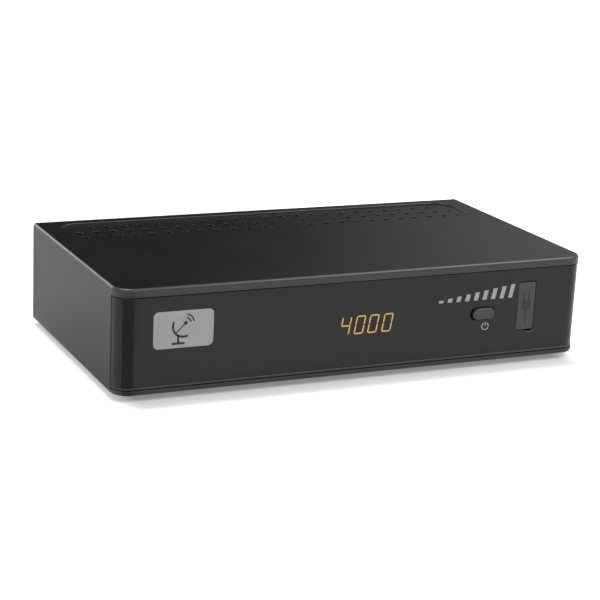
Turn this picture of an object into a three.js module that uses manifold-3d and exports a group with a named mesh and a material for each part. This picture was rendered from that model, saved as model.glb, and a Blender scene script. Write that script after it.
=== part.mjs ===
// A compact satellite television receiver, in millimetres.
// Case frame: X from the middle to the right, Y from the front face back, Z up from the case's underside.
import * as THREE from "three";
import { mergeVertices } from "three/addons/utils/BufferGeometryUtils.js";
import Module from "manifold-3d";

const wasm = await Module();
wasm.setup();

// Driving dimensions
const caseWidth = 220;
const caseDepth = 118;
const caseHeight = 45;
const wall = 2;
const roof = 2.4;
const cornerRadius = 7.5;
const backCornerRadius = 1.5;
const edgeRound = 1;
const footHeight = 2.5;

// Clearances and the fineness of round shapes
const fit = 0.2; // between pieces that clip or slide together
const seat = 0.1; // solder, glue or paint line under a piece that rests on another
const overrun = 1; // how far a cut runs past the face that it opens
const leastRadius = 0.2; // corner left on an outline set in by more than its radius
const mergeStep = 0.0001;
const arcSteps = 4;
const roundSteps = 3;
const smallSides = 12;
const hexagon = 6;
const sides = 20;

// Cover
const lip = { top: 3.65, bottom: 2.2 };
const field = { side: 9.5, back: 6.2, depth: 29.8, sink: 0.8, radius: 9 };
const vent = { radius: 1.4, pitchX: 7.88, pitchY: 8.6, edgeX: 5.7, edgeY: 6.2, sides: 8 };
const coverPost = { radius: 3.5, bore: 1.6, boreDepth: 10, side: 9, front: 20, back: 18, rib: 1.6 };

// Base tray
const tray = { lift: 0.3, thick: 2, backGap: 0.4 };
const trayFence = { thick: 1.5, height: 5.2, side: 15 };
const trayCup = { radius: 5, top: 6.2, recess: 3.4, recessTop: 3.8, hole: 1.8 };
const standoff = { radius: 3.2, height: 4, bore: 1.55, skin: 1.7 };
const rearPost = { side: 11.5, width: 7, depth: 7.4, top: 14, screwHeight: 9.5, bore: 1.6, boreDepth: 6.4 };
const slot = { width: 2.4, length: 20, pitch: 10, side: 40, front: 42, between: 8 };

// Screws
const caseScrew = { headRadius: 2.8, headHeight: 1.9, shankRadius: 1.4, length: 9 };
const boardScrew = { headRadius: 2.8, headHeight: 1.8, shankRadius: 1.35, length: 5 };
const rearScrew = { headRadius: 2.8, headHeight: 1.8, shankRadius: 1.4, length: 6.5 };
const screwHole = 0.35; // added to a shank's radius where the screw only passes through
const driveSlot = { width: 0.8, length: 3.6, depth: 0.8 };
const crownShare = 0.7; // of a round head's radius, where its top is flat

// Feet
const foot = { radius: 6, chamfer: 0.6, side: 20, front: 18, back: 18 };

// Front panel
const panel = { set: 0.4, thick: 2.4, round: 0.5, gapTop: 0.35, gapBottom: 0.8, gapSide: 0.3, nick: 0.8 };
const panelTab = { width: 12, depth: 1.7, drop: 5, spread: 70 };
const panelPost = { radius: 2.5, bore: 1.3, boreDepth: 4.5 };

// Power button and its switch
const button = { xShare: 0.54, length: 10.9, tall: 5.2, proud: 1, round: 0.5 };
const buttonSlot = { gapX: 1, gapZ: 0.5 };
const buttonFlange = { brimX: 1.8, brimZ: 1.3, thick: 0.9 };
const tact = { size: 6, depth: 3.4, bore: 1.9, boreDepth: 2 };
const plunger = { radius: 1.75, length: 2 };

// USB door and socket
const flap = { xShare: 0.737, rise: 2, width: 8.6, height: 21.7, thick: 2, gap: 0.25, gapTop: 0.3 };
const knuckle = { radius: 1.3, drop: 1.2, round: 1, bore: 0.7 };
const pin = { radius: 0.5, reach: 1.6, slotRadius: 0.7 };
const notch = { halfWidth: 2.1, height: 1.35, depth: 1 };
const bezel = { rim: 1.5, depth: 2, sink: 0.6 };
const usb = { width: 5.8, tall: 13.1, depth: 13.8, shell: 0.4, cavity: 10.4, tongue: 1.9, tongueShift: 0.65 };
const usbLug = { reach: 2, thick: 0.5 };
const usbGap = 0.3;

// Display, receiver eye and lamp
const display = { xShare: 0.022, width: 30, tall: 14, skin: 1, pocketGap: 0.4, digits: 4 };
const digitWindow = { width: 5.6, tall: 9.4, pitch: 6.9, depth: 0.4 };
const eye = { xShare: 0.24, width: 6, tall: 7, lens: 2.1 };
const lamp = { xShare: -0.19, radius: 1.5, flange: 1.9, flangeThick: 1, nose: 4.2 };

// Front board
const frontBoard = { behind: 5.5, thick: 1.6, pastLamp: 4, pastFlap: 13, low: 9.5, topGap: 4 };
const frontBoardScrew = { left: 5, highGap: 4, low: 3.5 };

// Ribbon between the boards
const ribbon = { xShare: 0.32, width: 12, thick: 0.4, steps: 10, bulge: 7.5, lift: 4.5 };
const frontHeader = { width: 15, depth: 3.6, tall: 4.4, drop: 8 };
const mainHeader = { width: 15, depth: 4.6, tall: 4.2, fromFront: 9.5 };

// Main board and what stands on it
const mainBoard = { side: 16, front: 15, back: 6, thick: 1.6, screwSide: 6, screwFront: 7, screwRear: 42 };
const pinOneChamfer = 1.2;
const processor = { size: 25, tall: 2.2, xShare: 0.52, yShare: 0.4 };
const sink = { size: 30, base: 2.5, fin: 1.2, fins: 8, finTall: 8 };
const memory = { width: 10, depth: 13, tall: 1.2, xShares: [0.34, 0.7], yShare: 0.4 };
const flash = { width: 18, depth: 10, tall: 1.2, xShare: 0.52, yShare: 0.66 };
const crystal = { length: 11, width: 4.6, tall: 3.6, round: 0.5, xShare: 0.7, yShare: 0.62 };
const capacitor = {
  radius: 4,
  tall: 12,
  crimp: 0.5,
  crimpHeight: 1.6,
  bead: 0.5,
  xShares: [0.1, 0.17, 0.24, 0.31],
  yShare: 0.58,
};
const inductor = { size: 10, tall: 4.5, coil: 3.9, coilProud: 0.4, xShares: [0.13, 0.23], yShare: 0.34 };

// Rear panel and sockets
const rearPanel = { set: 0.8, thick: 1.2 };
const rearVent = { width: 1.8, tall: 8, pitch: 5, count: 22, topGap: 4 };
const portGap = 0.4; // round a socket where it passes through the rear panel
const switchBody = { length: 19.2, tall: 13, inner: 12, bezelLength: 21, bezelTall: 14.6, bezelThick: 1.5 };
const rocker = {
  radius: 8.55,
  sink: 3.5, // of its hinge line below the bezel's outer face
  tall: 10.4,
  face: 2.6, // from its hinge line to the bottom of the V
  back: 2,
  vee: 11, // slope of each half, in degrees
  gap: 0.3,
  trunnion: 1.1,
  stub: 0.7,
};
const dcJack = { width: 9, depth: 14, tall: 11, nose: 4, proud: 1.2, bore: 2.75, boreDepth: 9, pin: 1 };
const serviceJack = { width: 8, depth: 12, tall: 8, nose: 3.2, proud: 1, bore: 1.8, boreDepth: 9 };
const coaxJack = {
  width: 10,
  depth: 11,
  tall: 12,
  nose: 4.15,
  proud: 8.5,
  collar: 4.9,
  collarThick: 1,
  bore: 1.7,
  boreDepth: 12,
};
const hdmi = {
  width: 15.2,
  tall: 6.4,
  depth: 12,
  proud: 0.9,
  shell: 0.5,
  cavity: 9,
  chamfer: 1.6,
  tongue: 1.2,
  tongueInset: 1,
};
const scart = { width: 48, tall: 15.6, depth: 20, proud: 2, rim: 1.6, channel: 1.9, cavity: 9, slant: 5 };
const tuner = { width: 38, depth: 34, tall: 14, edge: 0.8, lid: 0.6, lidInset: 1.4, backGap: 2.2 };
const fPlug = {
  spread: 19,
  flange: 5.6,
  flangeThick: 1.5,
  thread: 4.7,
  proud: 11,
  bore: 1.9,
  boreDepth: 9,
  lead: 0.6,
};
const nut = { across: 11, thick: 2.4, play: 0.2 };

// Places in the case frame that several pieces share
const halfWidth = caseWidth / 2;
const roofLow = caseHeight - roof;
const panelLow = lip.bottom + panel.gapBottom;
const panelHigh = caseHeight - lip.top - panel.gapTop;
const panelMiddle = (panelLow + panelHigh) / 2;
const panelBack = panel.set + panel.thick;
const trayTop = tray.lift + tray.thick;
const frontBoardFace = panelBack + frontBoard.behind;
const frontBoardTop = panelHigh - frontBoard.topGap;
const mainBoardLow = trayTop + standoff.height + seat;
const mainBoardTop = mainBoardLow + mainBoard.thick;
const mainBoardHalf = halfWidth - mainBoard.side;
const mainBoardEnd = caseDepth - mainBoard.back;
const mainBoardSpan = mainBoardHalf * 2;
const mainBoardRun = mainBoardEnd - mainBoard.front;
const rearFace = caseDepth - rearPanel.set;
const rearInner = rearFace - rearPanel.thick;
const buttonX = button.xShare * halfWidth;
const flapX = flap.xShare * halfWidth;
const flapZ = panelMiddle + flap.rise;
const displayX = display.xShare * halfWidth;
const eyeX = eye.xShare * halfWidth;
const lampX = lamp.xShare * halfWidth;
const ribbonX = ribbon.xShare * halfWidth;
const frontBoardLeft = lampX - frontBoard.pastLamp;
const frontBoardRight = flapX + frontBoard.pastFlap;
const frontHeaderZ = panelMiddle - frontHeader.drop;
const hingeY = panel.set + knuckle.radius;
const hingeZ = flapZ + flap.height / 2 - knuckle.drop;
const bezelFront = hingeY + knuckle.radius + bezel.sink - fit;
const usbFront = bezelFront + fit;
const coverPostLow = trayCup.top + fit;
const pivotY = rearFace + seat + switchBody.bezelThick - rocker.sink;
const switchZ = switchBody.tall / 2;
const fPlugZ = tuner.tall / 2;

const coverPostPlaces = places(
  halfWidth - coverPost.side,
  [coverPost.front, caseDepth - coverPost.back],
);
const footPlaces = places(halfWidth - foot.side, [foot.front, caseDepth - foot.back]);
const boardScrewPlaces = places(
  mainBoardHalf - mainBoard.screwSide,
  [mainBoard.front + mainBoard.screwFront, mainBoardEnd - mainBoard.screwRear],
);
const frontBoardScrewPlaces = [
  [frontBoardLeft + frontBoardScrew.left, frontBoardTop - frontBoardScrew.highGap],
  [(buttonX + flapX) / 2, frontBoard.low + frontBoardScrew.low],
];
const rearScrewX = halfWidth - rearPost.side;

// The sockets stand along the main board's rear edge with equal gaps
const portX = spreadOut({
  powerSwitch: switchBody.bezelLength,
  dcJack: dcJack.width,
  serviceJack: serviceJack.width,
  coaxJack: coaxJack.width,
  hdmi: hdmi.width,
  scart: scart.width,
  tuner: tuner.width,
});

// Four places, left and right of the middle, front row first
function places(halfSpread, rows) {
  return rows.flatMap((y) => [[-halfSpread, y], [halfSpread, y]]);
}

function spreadOut(widths) {
  const used = Object.values(widths).reduce((sum, width) => sum + width, 0);
  const gap = (mainBoardSpan - used) / (Object.keys(widths).length + 1);
  const centres = {};
  let edge = -mainBoardHalf;
  for (const [name, width] of Object.entries(widths)) {
    centres[name] = edge + gap + width / 2;
    edge += gap + width;
  }
  return centres;
}

// Solids from three.js geometry

function solid(geometry) {
  const bare = geometry.index ? geometry.toNonIndexed() : geometry;
  bare.deleteAttribute("normal");
  bare.deleteAttribute("uv");
  const merged = mergeVertices(bare, mergeStep);
  return new wasm.Manifold(
    new wasm.Mesh({
      numProp: 3,
      vertProperties: merged.attributes.position.array,
      triVerts: new Uint32Array(merged.index.array),
    }),
  );
}

function slab([x0, x1], [y0, y1], [z0, z1]) {
  const box = new THREE.BoxGeometry(x1 - x0, y1 - y0, z1 - z0);
  return solid(box.translate((x0 + x1) / 2, (y0 + y1) / 2, (z0 + z1) / 2));
}

// Turns a solid drawn up +Z so that its +Z end points along the named axis
const turns = {
  z: new THREE.Matrix4(),
  back: new THREE.Matrix4().makeRotationX(-Math.PI / 2),
  front: new THREE.Matrix4().makeRotationX(Math.PI / 2),
  x: new THREE.Matrix4().makeBasis(
    new THREE.Vector3(0, 1, 0),
    new THREE.Vector3(0, 0, 1),
    new THREE.Vector3(1, 0, 0),
  ),
};

function rod(radius, from, to, [u, v] = [0, 0], { along = "z", count = smallSides } = {}) {
  const bar = new THREE.CylinderGeometry(radius, radius, to - from, count);
  bar.rotateX(Math.PI / 2).translate(0, 0, (from + to) / 2);
  if (along === "y") return solid(bar.applyMatrix4(turns.back).translate(u, 0, v));
  if (along === "x") return solid(bar.applyMatrix4(turns.x).translate(0, u, v));
  return solid(bar.translate(u, v, 0));
}

// Extrudes an outline: up Z, along Y with the outline in X and Z, or along X with the outline in Y and Z
function prism(shape, from, to, { along = "z", round = 0, steps = arcSteps } = {}) {
  const block = new THREE.ExtrudeGeometry(shape, {
    depth: to - from - 2 * round,
    curveSegments: steps,
    bevelEnabled: round > 0,
    bevelThickness: round,
    bevelSize: round,
    bevelOffset: -round,
    bevelSegments: roundSteps,
  });
  if (along === "y") return solid(block.translate(0, 0, round - to).applyMatrix4(turns.front));
  block.translate(0, 0, from + round);
  return solid(along === "x" ? block.applyMatrix4(turns.x) : block);
}

// Turns a profile of [radius, height] points about +Z
function turned(profile, count = sides) {
  const points = profile.map(([radius, height]) => new THREE.Vector2(radius, height));
  return solid(new THREE.LatheGeometry(points, count).rotateX(Math.PI / 2));
}

function outline(points) {
  return new THREE.Shape(points.map(([u, v]) => new THREE.Vector2(u, v)));
}

function roundedRectangle(width, tall, radius, [u, v] = [0, 0]) {
  const x = width / 2 - radius;
  const y = tall / 2 - radius;
  const shape = new THREE.Shape();
  shape.absarc(u + x, v - y, radius, -Math.PI / 2, 0);
  shape.absarc(u + x, v + y, radius, 0, Math.PI / 2);
  shape.absarc(u - x, v + y, radius, Math.PI / 2, Math.PI);
  shape.absarc(u - x, v - y, radius, Math.PI, (3 * Math.PI) / 2);
  shape.closePath();
  return shape;
}

// A bar with half-round ends
function stadium(length, tall, [u, v] = [0, 0]) {
  const x = (length - tall) / 2;
  const shape = new THREE.Shape();
  shape.absarc(u + x, v, tall / 2, -Math.PI / 2, Math.PI / 2);
  shape.absarc(u - x, v, tall / 2, Math.PI / 2, (3 * Math.PI) / 2);
  shape.closePath();
  return shape;
}

// The case's plan set in on every side: rounded front corners, nearly sharp back ones
function plan(inset) {
  const front = Math.max(cornerRadius - inset, leastRadius);
  const back = Math.max(backCornerRadius - inset, leastRadius);
  const frontX = halfWidth - inset - front;
  const backX = halfWidth - inset - back;
  const shape = new THREE.Shape();
  shape.absarc(frontX, inset + front, front, -Math.PI / 2, 0);
  shape.absarc(backX, caseDepth - inset - back, back, 0, Math.PI / 2);
  shape.absarc(-backX, caseDepth - inset - back, back, Math.PI / 2, Math.PI);
  shape.absarc(-frontX, inset + front, front, Math.PI, (3 * Math.PI) / 2);
  shape.closePath();
  return shape;
}

// Meshes

function paint(color, roughness, metalness = 0) {
  return new THREE.MeshStandardMaterial({ color, roughness, metalness });
}

const paints = {
  casing: paint(0x2b2b2d, 0.55),
  panel: paint(0x1e1e20, 0.18),
  button: paint(0x3a3a3c, 0.35),
  rubber: paint(0x1a1a1a, 0.85),
  steel: paint(0xa9abae, 0.35, 1),
  blackSteel: paint(0x242426, 0.5, 0.2),
  nickel: paint(0xc4c2bc, 0.25, 1),
  board: paint(0x1f5a35, 0.5),
  blackPlastic: paint(0x161618, 0.5),
  whitePlastic: paint(0xe4e2da, 0.5),
  aluminium: paint(0xb8babd, 0.4, 1),
  chip: paint(0x1b1b1d, 0.6),
  sleeve: paint(0x25324f, 0.4),
  orange: paint(0xd9701f, 0.45),
  display: paint(0x4a1f08, 0.25),
};

function piece(name, shape, finish) {
  const { vertProperties, triVerts } = shape.getMesh();
  const geometry = new THREE.BufferGeometry();
  geometry.setAttribute("position", new THREE.BufferAttribute(vertProperties, 3));
  geometry.setIndex(new THREE.BufferAttribute(triVerts, 1));
  geometry.computeVertexNormals();
  const mesh = new THREE.Mesh(geometry, paints[finish]);
  mesh.name = name;
  return mesh;
}

function group(position, ...members) {
  const made = new THREE.Group();
  made.position.set(...position);
  made.add(...members);
  return made;
}

function at(mesh, x, y, z) {
  mesh.position.set(x, y, z);
  return mesh;
}

// Housing

function ventPlaces() {
  const fieldWidth = caseWidth - 2 * field.side;
  const columns = 1 + Math.floor((fieldWidth - 2 * vent.edgeX) / vent.pitchX);
  const rows = 1 + Math.floor((field.depth - 2 * vent.edgeY) / vent.pitchY);
  const middle = caseDepth - field.back - field.depth / 2;
  const found = [];
  for (let row = 0; row < rows; row += 1) {
    for (let column = 0; column < columns; column += 1) {
      const atCorner = row === rows - 1 && (column === 0 || column === columns - 1);
      if (atCorner) continue;
      const x = (column - (columns - 1) / 2) * vent.pitchX;
      const y = middle + (row - (rows - 1) / 2) * vent.pitchY;
      found.push([x, y]);
    }
  }
  return found;
}

// Open below and behind; the front is open between the two lips
function topCover() {
  const inside = halfWidth - wall;
  const fieldMiddle = [0, caseDepth - field.back - field.depth / 2];
  const fieldShape = roundedRectangle(caseWidth - 2 * field.side, field.depth, field.radius, fieldMiddle);
  let cover = prism(plan(0), 0, caseHeight, { round: edgeRound })
    .subtract(prism(plan(wall), -overrun, roofLow))
    .subtract(slab([-inside, inside], [caseDepth / 2, caseDepth + overrun], [-overrun, roofLow]))
    .subtract(slab(
      [-halfWidth - overrun, halfWidth + overrun],
      [-overrun, cornerRadius],
      [lip.bottom, caseHeight - lip.top],
    ))
    .subtract(prism(fieldShape, caseHeight - field.sink, caseHeight + overrun));
  for (const place of ventPlaces()) {
    const through = rod(vent.radius, roofLow - overrun, caseHeight + overrun, place, { count: vent.sides });
    cover = cover.subtract(through);
  }
  for (const [x, y] of coverPostPlaces) {
    const outward = Math.sign(x) * (halfWidth - wall / 2);
    const ribX = [Math.min(x, outward), Math.max(x, outward)];
    cover = cover
      .add(rod(coverPost.radius, coverPostLow, roofLow + roof / 2, [x, y]))
      .add(slab(ribX, [y - coverPost.rib / 2, y + coverPost.rib / 2], [coverPostLow, roofLow + roof / 2]));
  }
  for (const place of coverPostPlaces) {
    const boreTop = coverPostLow + coverPost.boreDepth;
    cover = cover.subtract(rod(coverPost.bore, coverPostLow - overrun, boreTop, place));
  }
  return piece("top_cover", cover, "casing");
}

function trayVents() {
  const columns = 1 + Math.floor((caseWidth - 2 * slot.side) / slot.pitch);
  const cuts = [];
  for (let column = 0; column < columns; column += 1) {
    const x = (column - (columns - 1) / 2) * slot.pitch;
    for (const front of [slot.front, slot.front + slot.length + slot.between]) {
      cuts.push(slab(
        [x - slot.width / 2, x + slot.width / 2],
        [front, front + slot.length],
        [tray.lift - overrun, trayTop + overrun],
      ));
    }
  }
  return cuts;
}

// Floor with a front fence, cups for the case screws, standoffs and two posts behind the rear panel's screws
function baseTray() {
  const inset = wall + fit;
  const insideX = [inset - halfWidth, halfWidth - inset];
  const fenceX = halfWidth - trayFence.side;
  const fenceY = panelBack + fit;
  const fenceTop = trayTop + trayFence.height;
  let floor = prism(plan(inset), tray.lift, trayTop)
    .add(slab(insideX, [caseDepth / 2, caseDepth - tray.backGap], [tray.lift, trayTop]))
    .add(slab([-fenceX, fenceX], [fenceY, fenceY + trayFence.thick], [tray.lift, fenceTop]));
  for (const side of [-1, 1]) {
    const x = side * rearScrewX;
    const y = rearInner - fit;
    const postX = [x - rearPost.width / 2, x + rearPost.width / 2];
    const bore = [x, rearPost.screwHeight];
    floor = floor
      .add(slab(postX, [y - rearPost.depth, y], [tray.lift, rearPost.top]))
      .subtract(rod(rearPost.bore, y - rearPost.boreDepth, y + overrun, bore, { along: "y" }));
  }
  for (const place of coverPostPlaces) {
    floor = floor
      .add(rod(trayCup.radius, tray.lift, trayCup.top, place))
      .subtract(rod(trayCup.recess, tray.lift - overrun, trayCup.recessTop, place))
      .subtract(rod(trayCup.hole, tray.lift, trayCup.top + overrun, place));
  }
  for (const place of boardScrewPlaces) {
    floor = floor
      .add(rod(standoff.radius, tray.lift, trayTop + standoff.height, place))
      .subtract(rod(standoff.bore, tray.lift + standoff.skin, mainBoardLow + overrun, place));
  }
  for (const cutter of trayVents()) floor = floor.subtract(cutter);
  return piece("base_tray", floor, "casing");
}

function feet() {
  const height = footHeight + tray.lift - seat;
  const profile = [
    [0, 0],
    [foot.radius - foot.chamfer, 0],
    [foot.radius, foot.chamfer],
    [foot.radius, height],
    [0, height],
  ];
  return footPlaces.map(([x, y], index) =>
    at(piece("foot_" + (index + 1), turned(profile), "rubber"), x, y, -footHeight));
}

// A pan-head screw with its head below, its seat at the origin and its shank up +Z
function screw(name, size, finish) {
  const profile = [
    [0, -size.headHeight],
    [size.headRadius * crownShare, -size.headHeight],
    [size.headRadius, -size.headHeight / 2],
    [size.headRadius, 0],
    [size.shankRadius, 0],
    [size.shankRadius, size.length - size.shankRadius],
    [0, size.length],
  ];
  const half = driveSlot.length / 2;
  const thin = driveSlot.width / 2;
  const low = -size.headHeight - overrun;
  const floor = driveSlot.depth - size.headHeight;
  const made = turned(profile, smallSides)
    .subtract(slab([-half, half], [-thin, thin], [low, floor]))
    .subtract(slab([-thin, thin], [-half, half], [low, floor]));
  return piece(name, made, finish);
}

function caseScrews() {
  return coverPostPlaces.map(([x, y], index) =>
    at(screw("case_screw_" + (index + 1), caseScrew, "steel"), x, y, trayCup.recessTop - seat));
}

function boardScrews() {
  return boardScrewPlaces.map(([x, y], index) => {
    const made = screw("board_screw_" + (index + 1), boardScrew, "steel");
    made.rotation.x = Math.PI;
    return at(made, x, y, mainBoardTop + seat);
  });
}

// Front

function frontPanel() {
  const wraps = prism(plan(panel.set), panelLow, panelHigh, { round: panel.round })
    .subtract(prism(plan(panelBack), panelLow - overrun, panelHigh + overrun))
    .subtract(slab(
      [-halfWidth - overrun, halfWidth + overrun],
      [cornerRadius - panel.gapSide, caseDepth + overrun],
      [panelLow - overrun, panelHigh + overrun],
    ));
  let shell = wraps.subtract(wrapNicks());
  for (const x of [-panelTab.spread, 0, panelTab.spread]) {
    shell = shell.add(slab(
      [x - panelTab.width / 2, x + panelTab.width / 2],
      [wall + fit, panelBack + panelTab.depth],
      [panelHigh - panelTab.drop, roofLow - fit],
    ));
  }
  for (const place of frontBoardScrewPlaces) {
    const root = panelBack - panel.thick / 2;
    const boreStart = frontBoardFace - panelPost.boreDepth;
    shell = shell
      .add(rod(panelPost.radius, root, frontBoardFace - seat, place, { along: "y", count: sides }))
      .subtract(rod(panelPost.bore, boreStart, frontBoardFace, place, { along: "y" }));
  }
  shell = shell
    .add(usbBezel())
    .subtract(usbOpening())
    .subtract(buttonOpening())
    .subtract(displayPocket());
  return piece("front_panel", shell, "panel");
}

function buttonOpening() {
  const length = button.length + 2 * buttonSlot.gapX;
  const tall = button.tall + 2 * buttonSlot.gapZ;
  const shape = stadium(length, tall, [buttonX, panelMiddle]);
  return prism(shape, -overrun, panelBack + overrun, { along: "y" });
}

// The wraps' ends are nicked at the top and bottom, beside the cover's side walls
function wrapNicks() {
  const y = cornerRadius - panel.gapSide - panel.nick;
  const x = [-halfWidth - overrun, halfWidth + overrun];
  return slab(x, [y, cornerRadius], [panelLow - overrun, panelLow + panel.nick])
    .add(slab(x, [y, cornerRadius], [panelHigh - panel.nick, panelHigh + overrun]));
}

// The display stands in a pocket behind a thin skin that its light comes through
function displayPocket() {
  const halfX = display.width / 2 + display.pocketGap;
  const halfZ = display.tall / 2 + display.pocketGap;
  return slab(
    [displayX - halfX, displayX + halfX],
    [panel.set + display.skin, panelBack + overrun],
    [panelMiddle - halfZ, panelMiddle + halfZ],
  );
}

function usbBezel() {
  const halfX = flap.width / 2 + flap.gap + bezel.rim;
  const halfZ = flap.height / 2 + flap.gap + bezel.rim;
  return slab(
    [flapX - halfX, flapX + halfX],
    [panelBack - panel.thick / 2, bezelFront + bezel.depth],
    [flapZ - halfZ, flapZ + halfZ],
  );
}

// The door's opening, its finger notch, the socket's hole and the seats of the hinge pin
function usbOpening() {
  const halfX = flap.width / 2 + flap.gap;
  const low = flapZ - flap.height / 2 - flap.gap;
  const high = flapZ + flap.height / 2 + flap.gapTop;
  const socketX = usb.width / 2 + usbGap;
  const socketZ = usb.tall / 2 + usbGap;
  const pinX = halfX + pin.reach + fit;
  const notchShape = new THREE.Shape();
  const notchX = flapX + halfX - notch.halfWidth;
  notchShape.absellipse(notchX, low, notch.halfWidth, notch.height, 0, 2 * Math.PI);
  return slab([flapX - halfX, flapX + halfX], [-overrun, bezelFront], [low, high])
    .add(prism(notchShape, -overrun, panel.set + notch.depth, { along: "y" }))
    .add(slab(
      [flapX - socketX, flapX + socketX],
      [bezelFront - fit, bezelFront + bezel.depth + overrun],
      [flapZ - socketZ, flapZ + socketZ],
    ))
    .add(rod(pin.slotRadius, flapX - pinX, flapX + pinX, [hingeY, hingeZ], { along: "x" }))
    .add(slab(
      [flapX - pinX, flapX + pinX],
      [hingeY, bezelFront + bezel.depth + overrun],
      [hingeZ - pin.slotRadius, hingeZ + pin.slotRadius],
    ));
}

// A plate with a knuckle along its top edge, drawn round the hinge line
function usbFlap() {
  const top = knuckle.drop;
  const bottom = top - flap.height;
  const front = -knuckle.radius;
  const back = front + flap.thick;
  const plate = new THREE.Shape();
  plate.moveTo(back, bottom);
  plate.lineTo(back, top);
  plate.absarc(front + knuckle.round, top - knuckle.round, knuckle.round, Math.PI / 2, Math.PI);
  plate.lineTo(front, bottom);
  plate.closePath();
  const halfX = flap.width / 2;
  const boreX = halfX + overrun;
  const made = prism(plate, -halfX, halfX, { along: "x" })
    .add(rod(knuckle.radius, -halfX, halfX, [0, 0], { along: "x", count: sides }))
    .subtract(rod(knuckle.bore, -boreX, boreX, [0, 0], { along: "x" }));
  return piece("usb_flap", made, "button");
}

function usbFlapPin() {
  const halfX = flap.width / 2 + flap.gap + pin.reach;
  return piece("usb_flap_pin", rod(pin.radius, -halfX, halfX, [0, 0], { along: "x" }), "steel");
}

// A stadium cap with a brim behind the panel that keeps it in
function powerButton() {
  const capFront = -button.proud - panel.thick;
  const brim = stadium(button.length + 2 * buttonFlange.brimX, button.tall + 2 * buttonFlange.brimZ);
  const cap = prism(stadium(button.length, button.tall), capFront, fit + buttonFlange.thick, {
    along: "y",
    round: button.round,
  });
  const made = cap.add(prism(brim, fit, fit + buttonFlange.thick, { along: "y" }));
  return piece("power_button", made, "button");
}

// On the front board, whose front face is the group's Y zero
function frontBoardGroup() {
  return group(
    [0, frontBoardFace, 0],
    frontBoardPlate(),
    at(ledDisplay(), displayX, 0, panelMiddle),
    at(receiverEye(), eyeX, 0, panelMiddle),
    at(standbyLamp(), lampX, 0, panelMiddle),
    at(tactSwitch(), buttonX, 0, panelMiddle),
    at(switchPlunger(), buttonX, 0, panelMiddle),
    at(usbSocket(), flapX, 0, flapZ),
    at(frontHeaderBlock(), ribbonX, frontBoard.thick + seat, frontHeaderZ),
    ...frontBoardScrews(),
  );
}

function frontBoardScrews() {
  const size = { ...boardScrew, shankRadius: panelPost.bore - fit, length: panelPost.boreDepth };
  return frontBoardScrewPlaces.map(([x, z], index) => {
    const made = screw("front_board_screw_" + (index + 1), size, "steel");
    made.rotation.x = Math.PI / 2;
    return at(made, x, frontBoard.thick + seat, z);
  });
}

function frontBoardPlate() {
  const cutX = usb.width / 2 + usbGap;
  const cutZ = usb.tall / 2 + usbGap;
  let plate = slab([frontBoardLeft, frontBoardRight], [0, frontBoard.thick], [frontBoard.low, frontBoardTop])
    .subtract(slab(
      [flapX - cutX, flapX + cutX],
      [-overrun, frontBoard.thick + overrun],
      [flapZ - cutZ, flapZ + cutZ],
    ));
  const holeRadius = panelPost.bore + screwHole;
  for (const place of frontBoardScrewPlaces) {
    plate = plate.subtract(rod(holeRadius, -overrun, frontBoard.thick + overrun, place, { along: "y" }));
  }
  return piece("front_board", plate, "board");
}

function ledDisplay() {
  const front = panel.set + display.skin + fit - frontBoardFace;
  const halfX = display.width / 2;
  const halfZ = display.tall / 2;
  let block = slab([-halfX, halfX], [front, -seat], [-halfZ, halfZ]);
  for (let digit = 0; digit < display.digits; digit += 1) {
    const x = (digit - (display.digits - 1) / 2) * digitWindow.pitch;
    block = block.subtract(slab(
      [x - digitWindow.width / 2, x + digitWindow.width / 2],
      [front - overrun, front + digitWindow.depth],
      [-digitWindow.tall / 2, digitWindow.tall / 2],
    ));
  }
  return piece("led_display", block, "display");
}

// An infrared receiver: a block on the board with a half-round lens to the front
function receiverEye() {
  const lensTip = panelBack + fit - frontBoardFace;
  const blockFront = lensTip + eye.lens;
  const lens = new THREE.SphereGeometry(eye.lens, smallSides, smallSides / 2).translate(0, blockFront, 0);
  const made = slab([-eye.width / 2, eye.width / 2], [blockFront, -seat], [-eye.tall / 2, eye.tall / 2])
    .add(solid(lens));
  return piece("ir_receiver", made, "blackPlastic");
}

function standbyLamp() {
  const profile = [
    [0, 0],
    [lamp.flange, 0],
    [lamp.flange, lamp.flangeThick],
    [lamp.radius, lamp.flangeThick],
    [lamp.radius, lamp.nose - lamp.radius / 2],
    [lamp.radius * crownShare, lamp.nose],
    [0, lamp.nose + seat],
  ];
  const made = piece("standby_led", turned(profile, smallSides), "display");
  made.geometry.applyMatrix4(turns.front).translate(0, -seat, 0);
  return made;
}

function tactSwitch() {
  const half = tact.size / 2;
  const front = -seat - tact.depth;
  const made = slab([-half, half], [front, -seat], [-half, half])
    .subtract(rod(tact.bore, front - overrun, front + tact.boreDepth, [0, 0], { along: "y", count: sides }));
  return piece("tact_switch", made, "blackPlastic");
}

// Its tip stands just behind the button's brim
function switchPlunger() {
  const tip = panelBack + fit + buttonFlange.thick + fit - frontBoardFace;
  const made = rod(plunger.radius, tip, tip + plunger.length, [0, 0], { along: "y", count: sides });
  return piece("switch_plunger", made, "whitePlastic");
}

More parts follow.
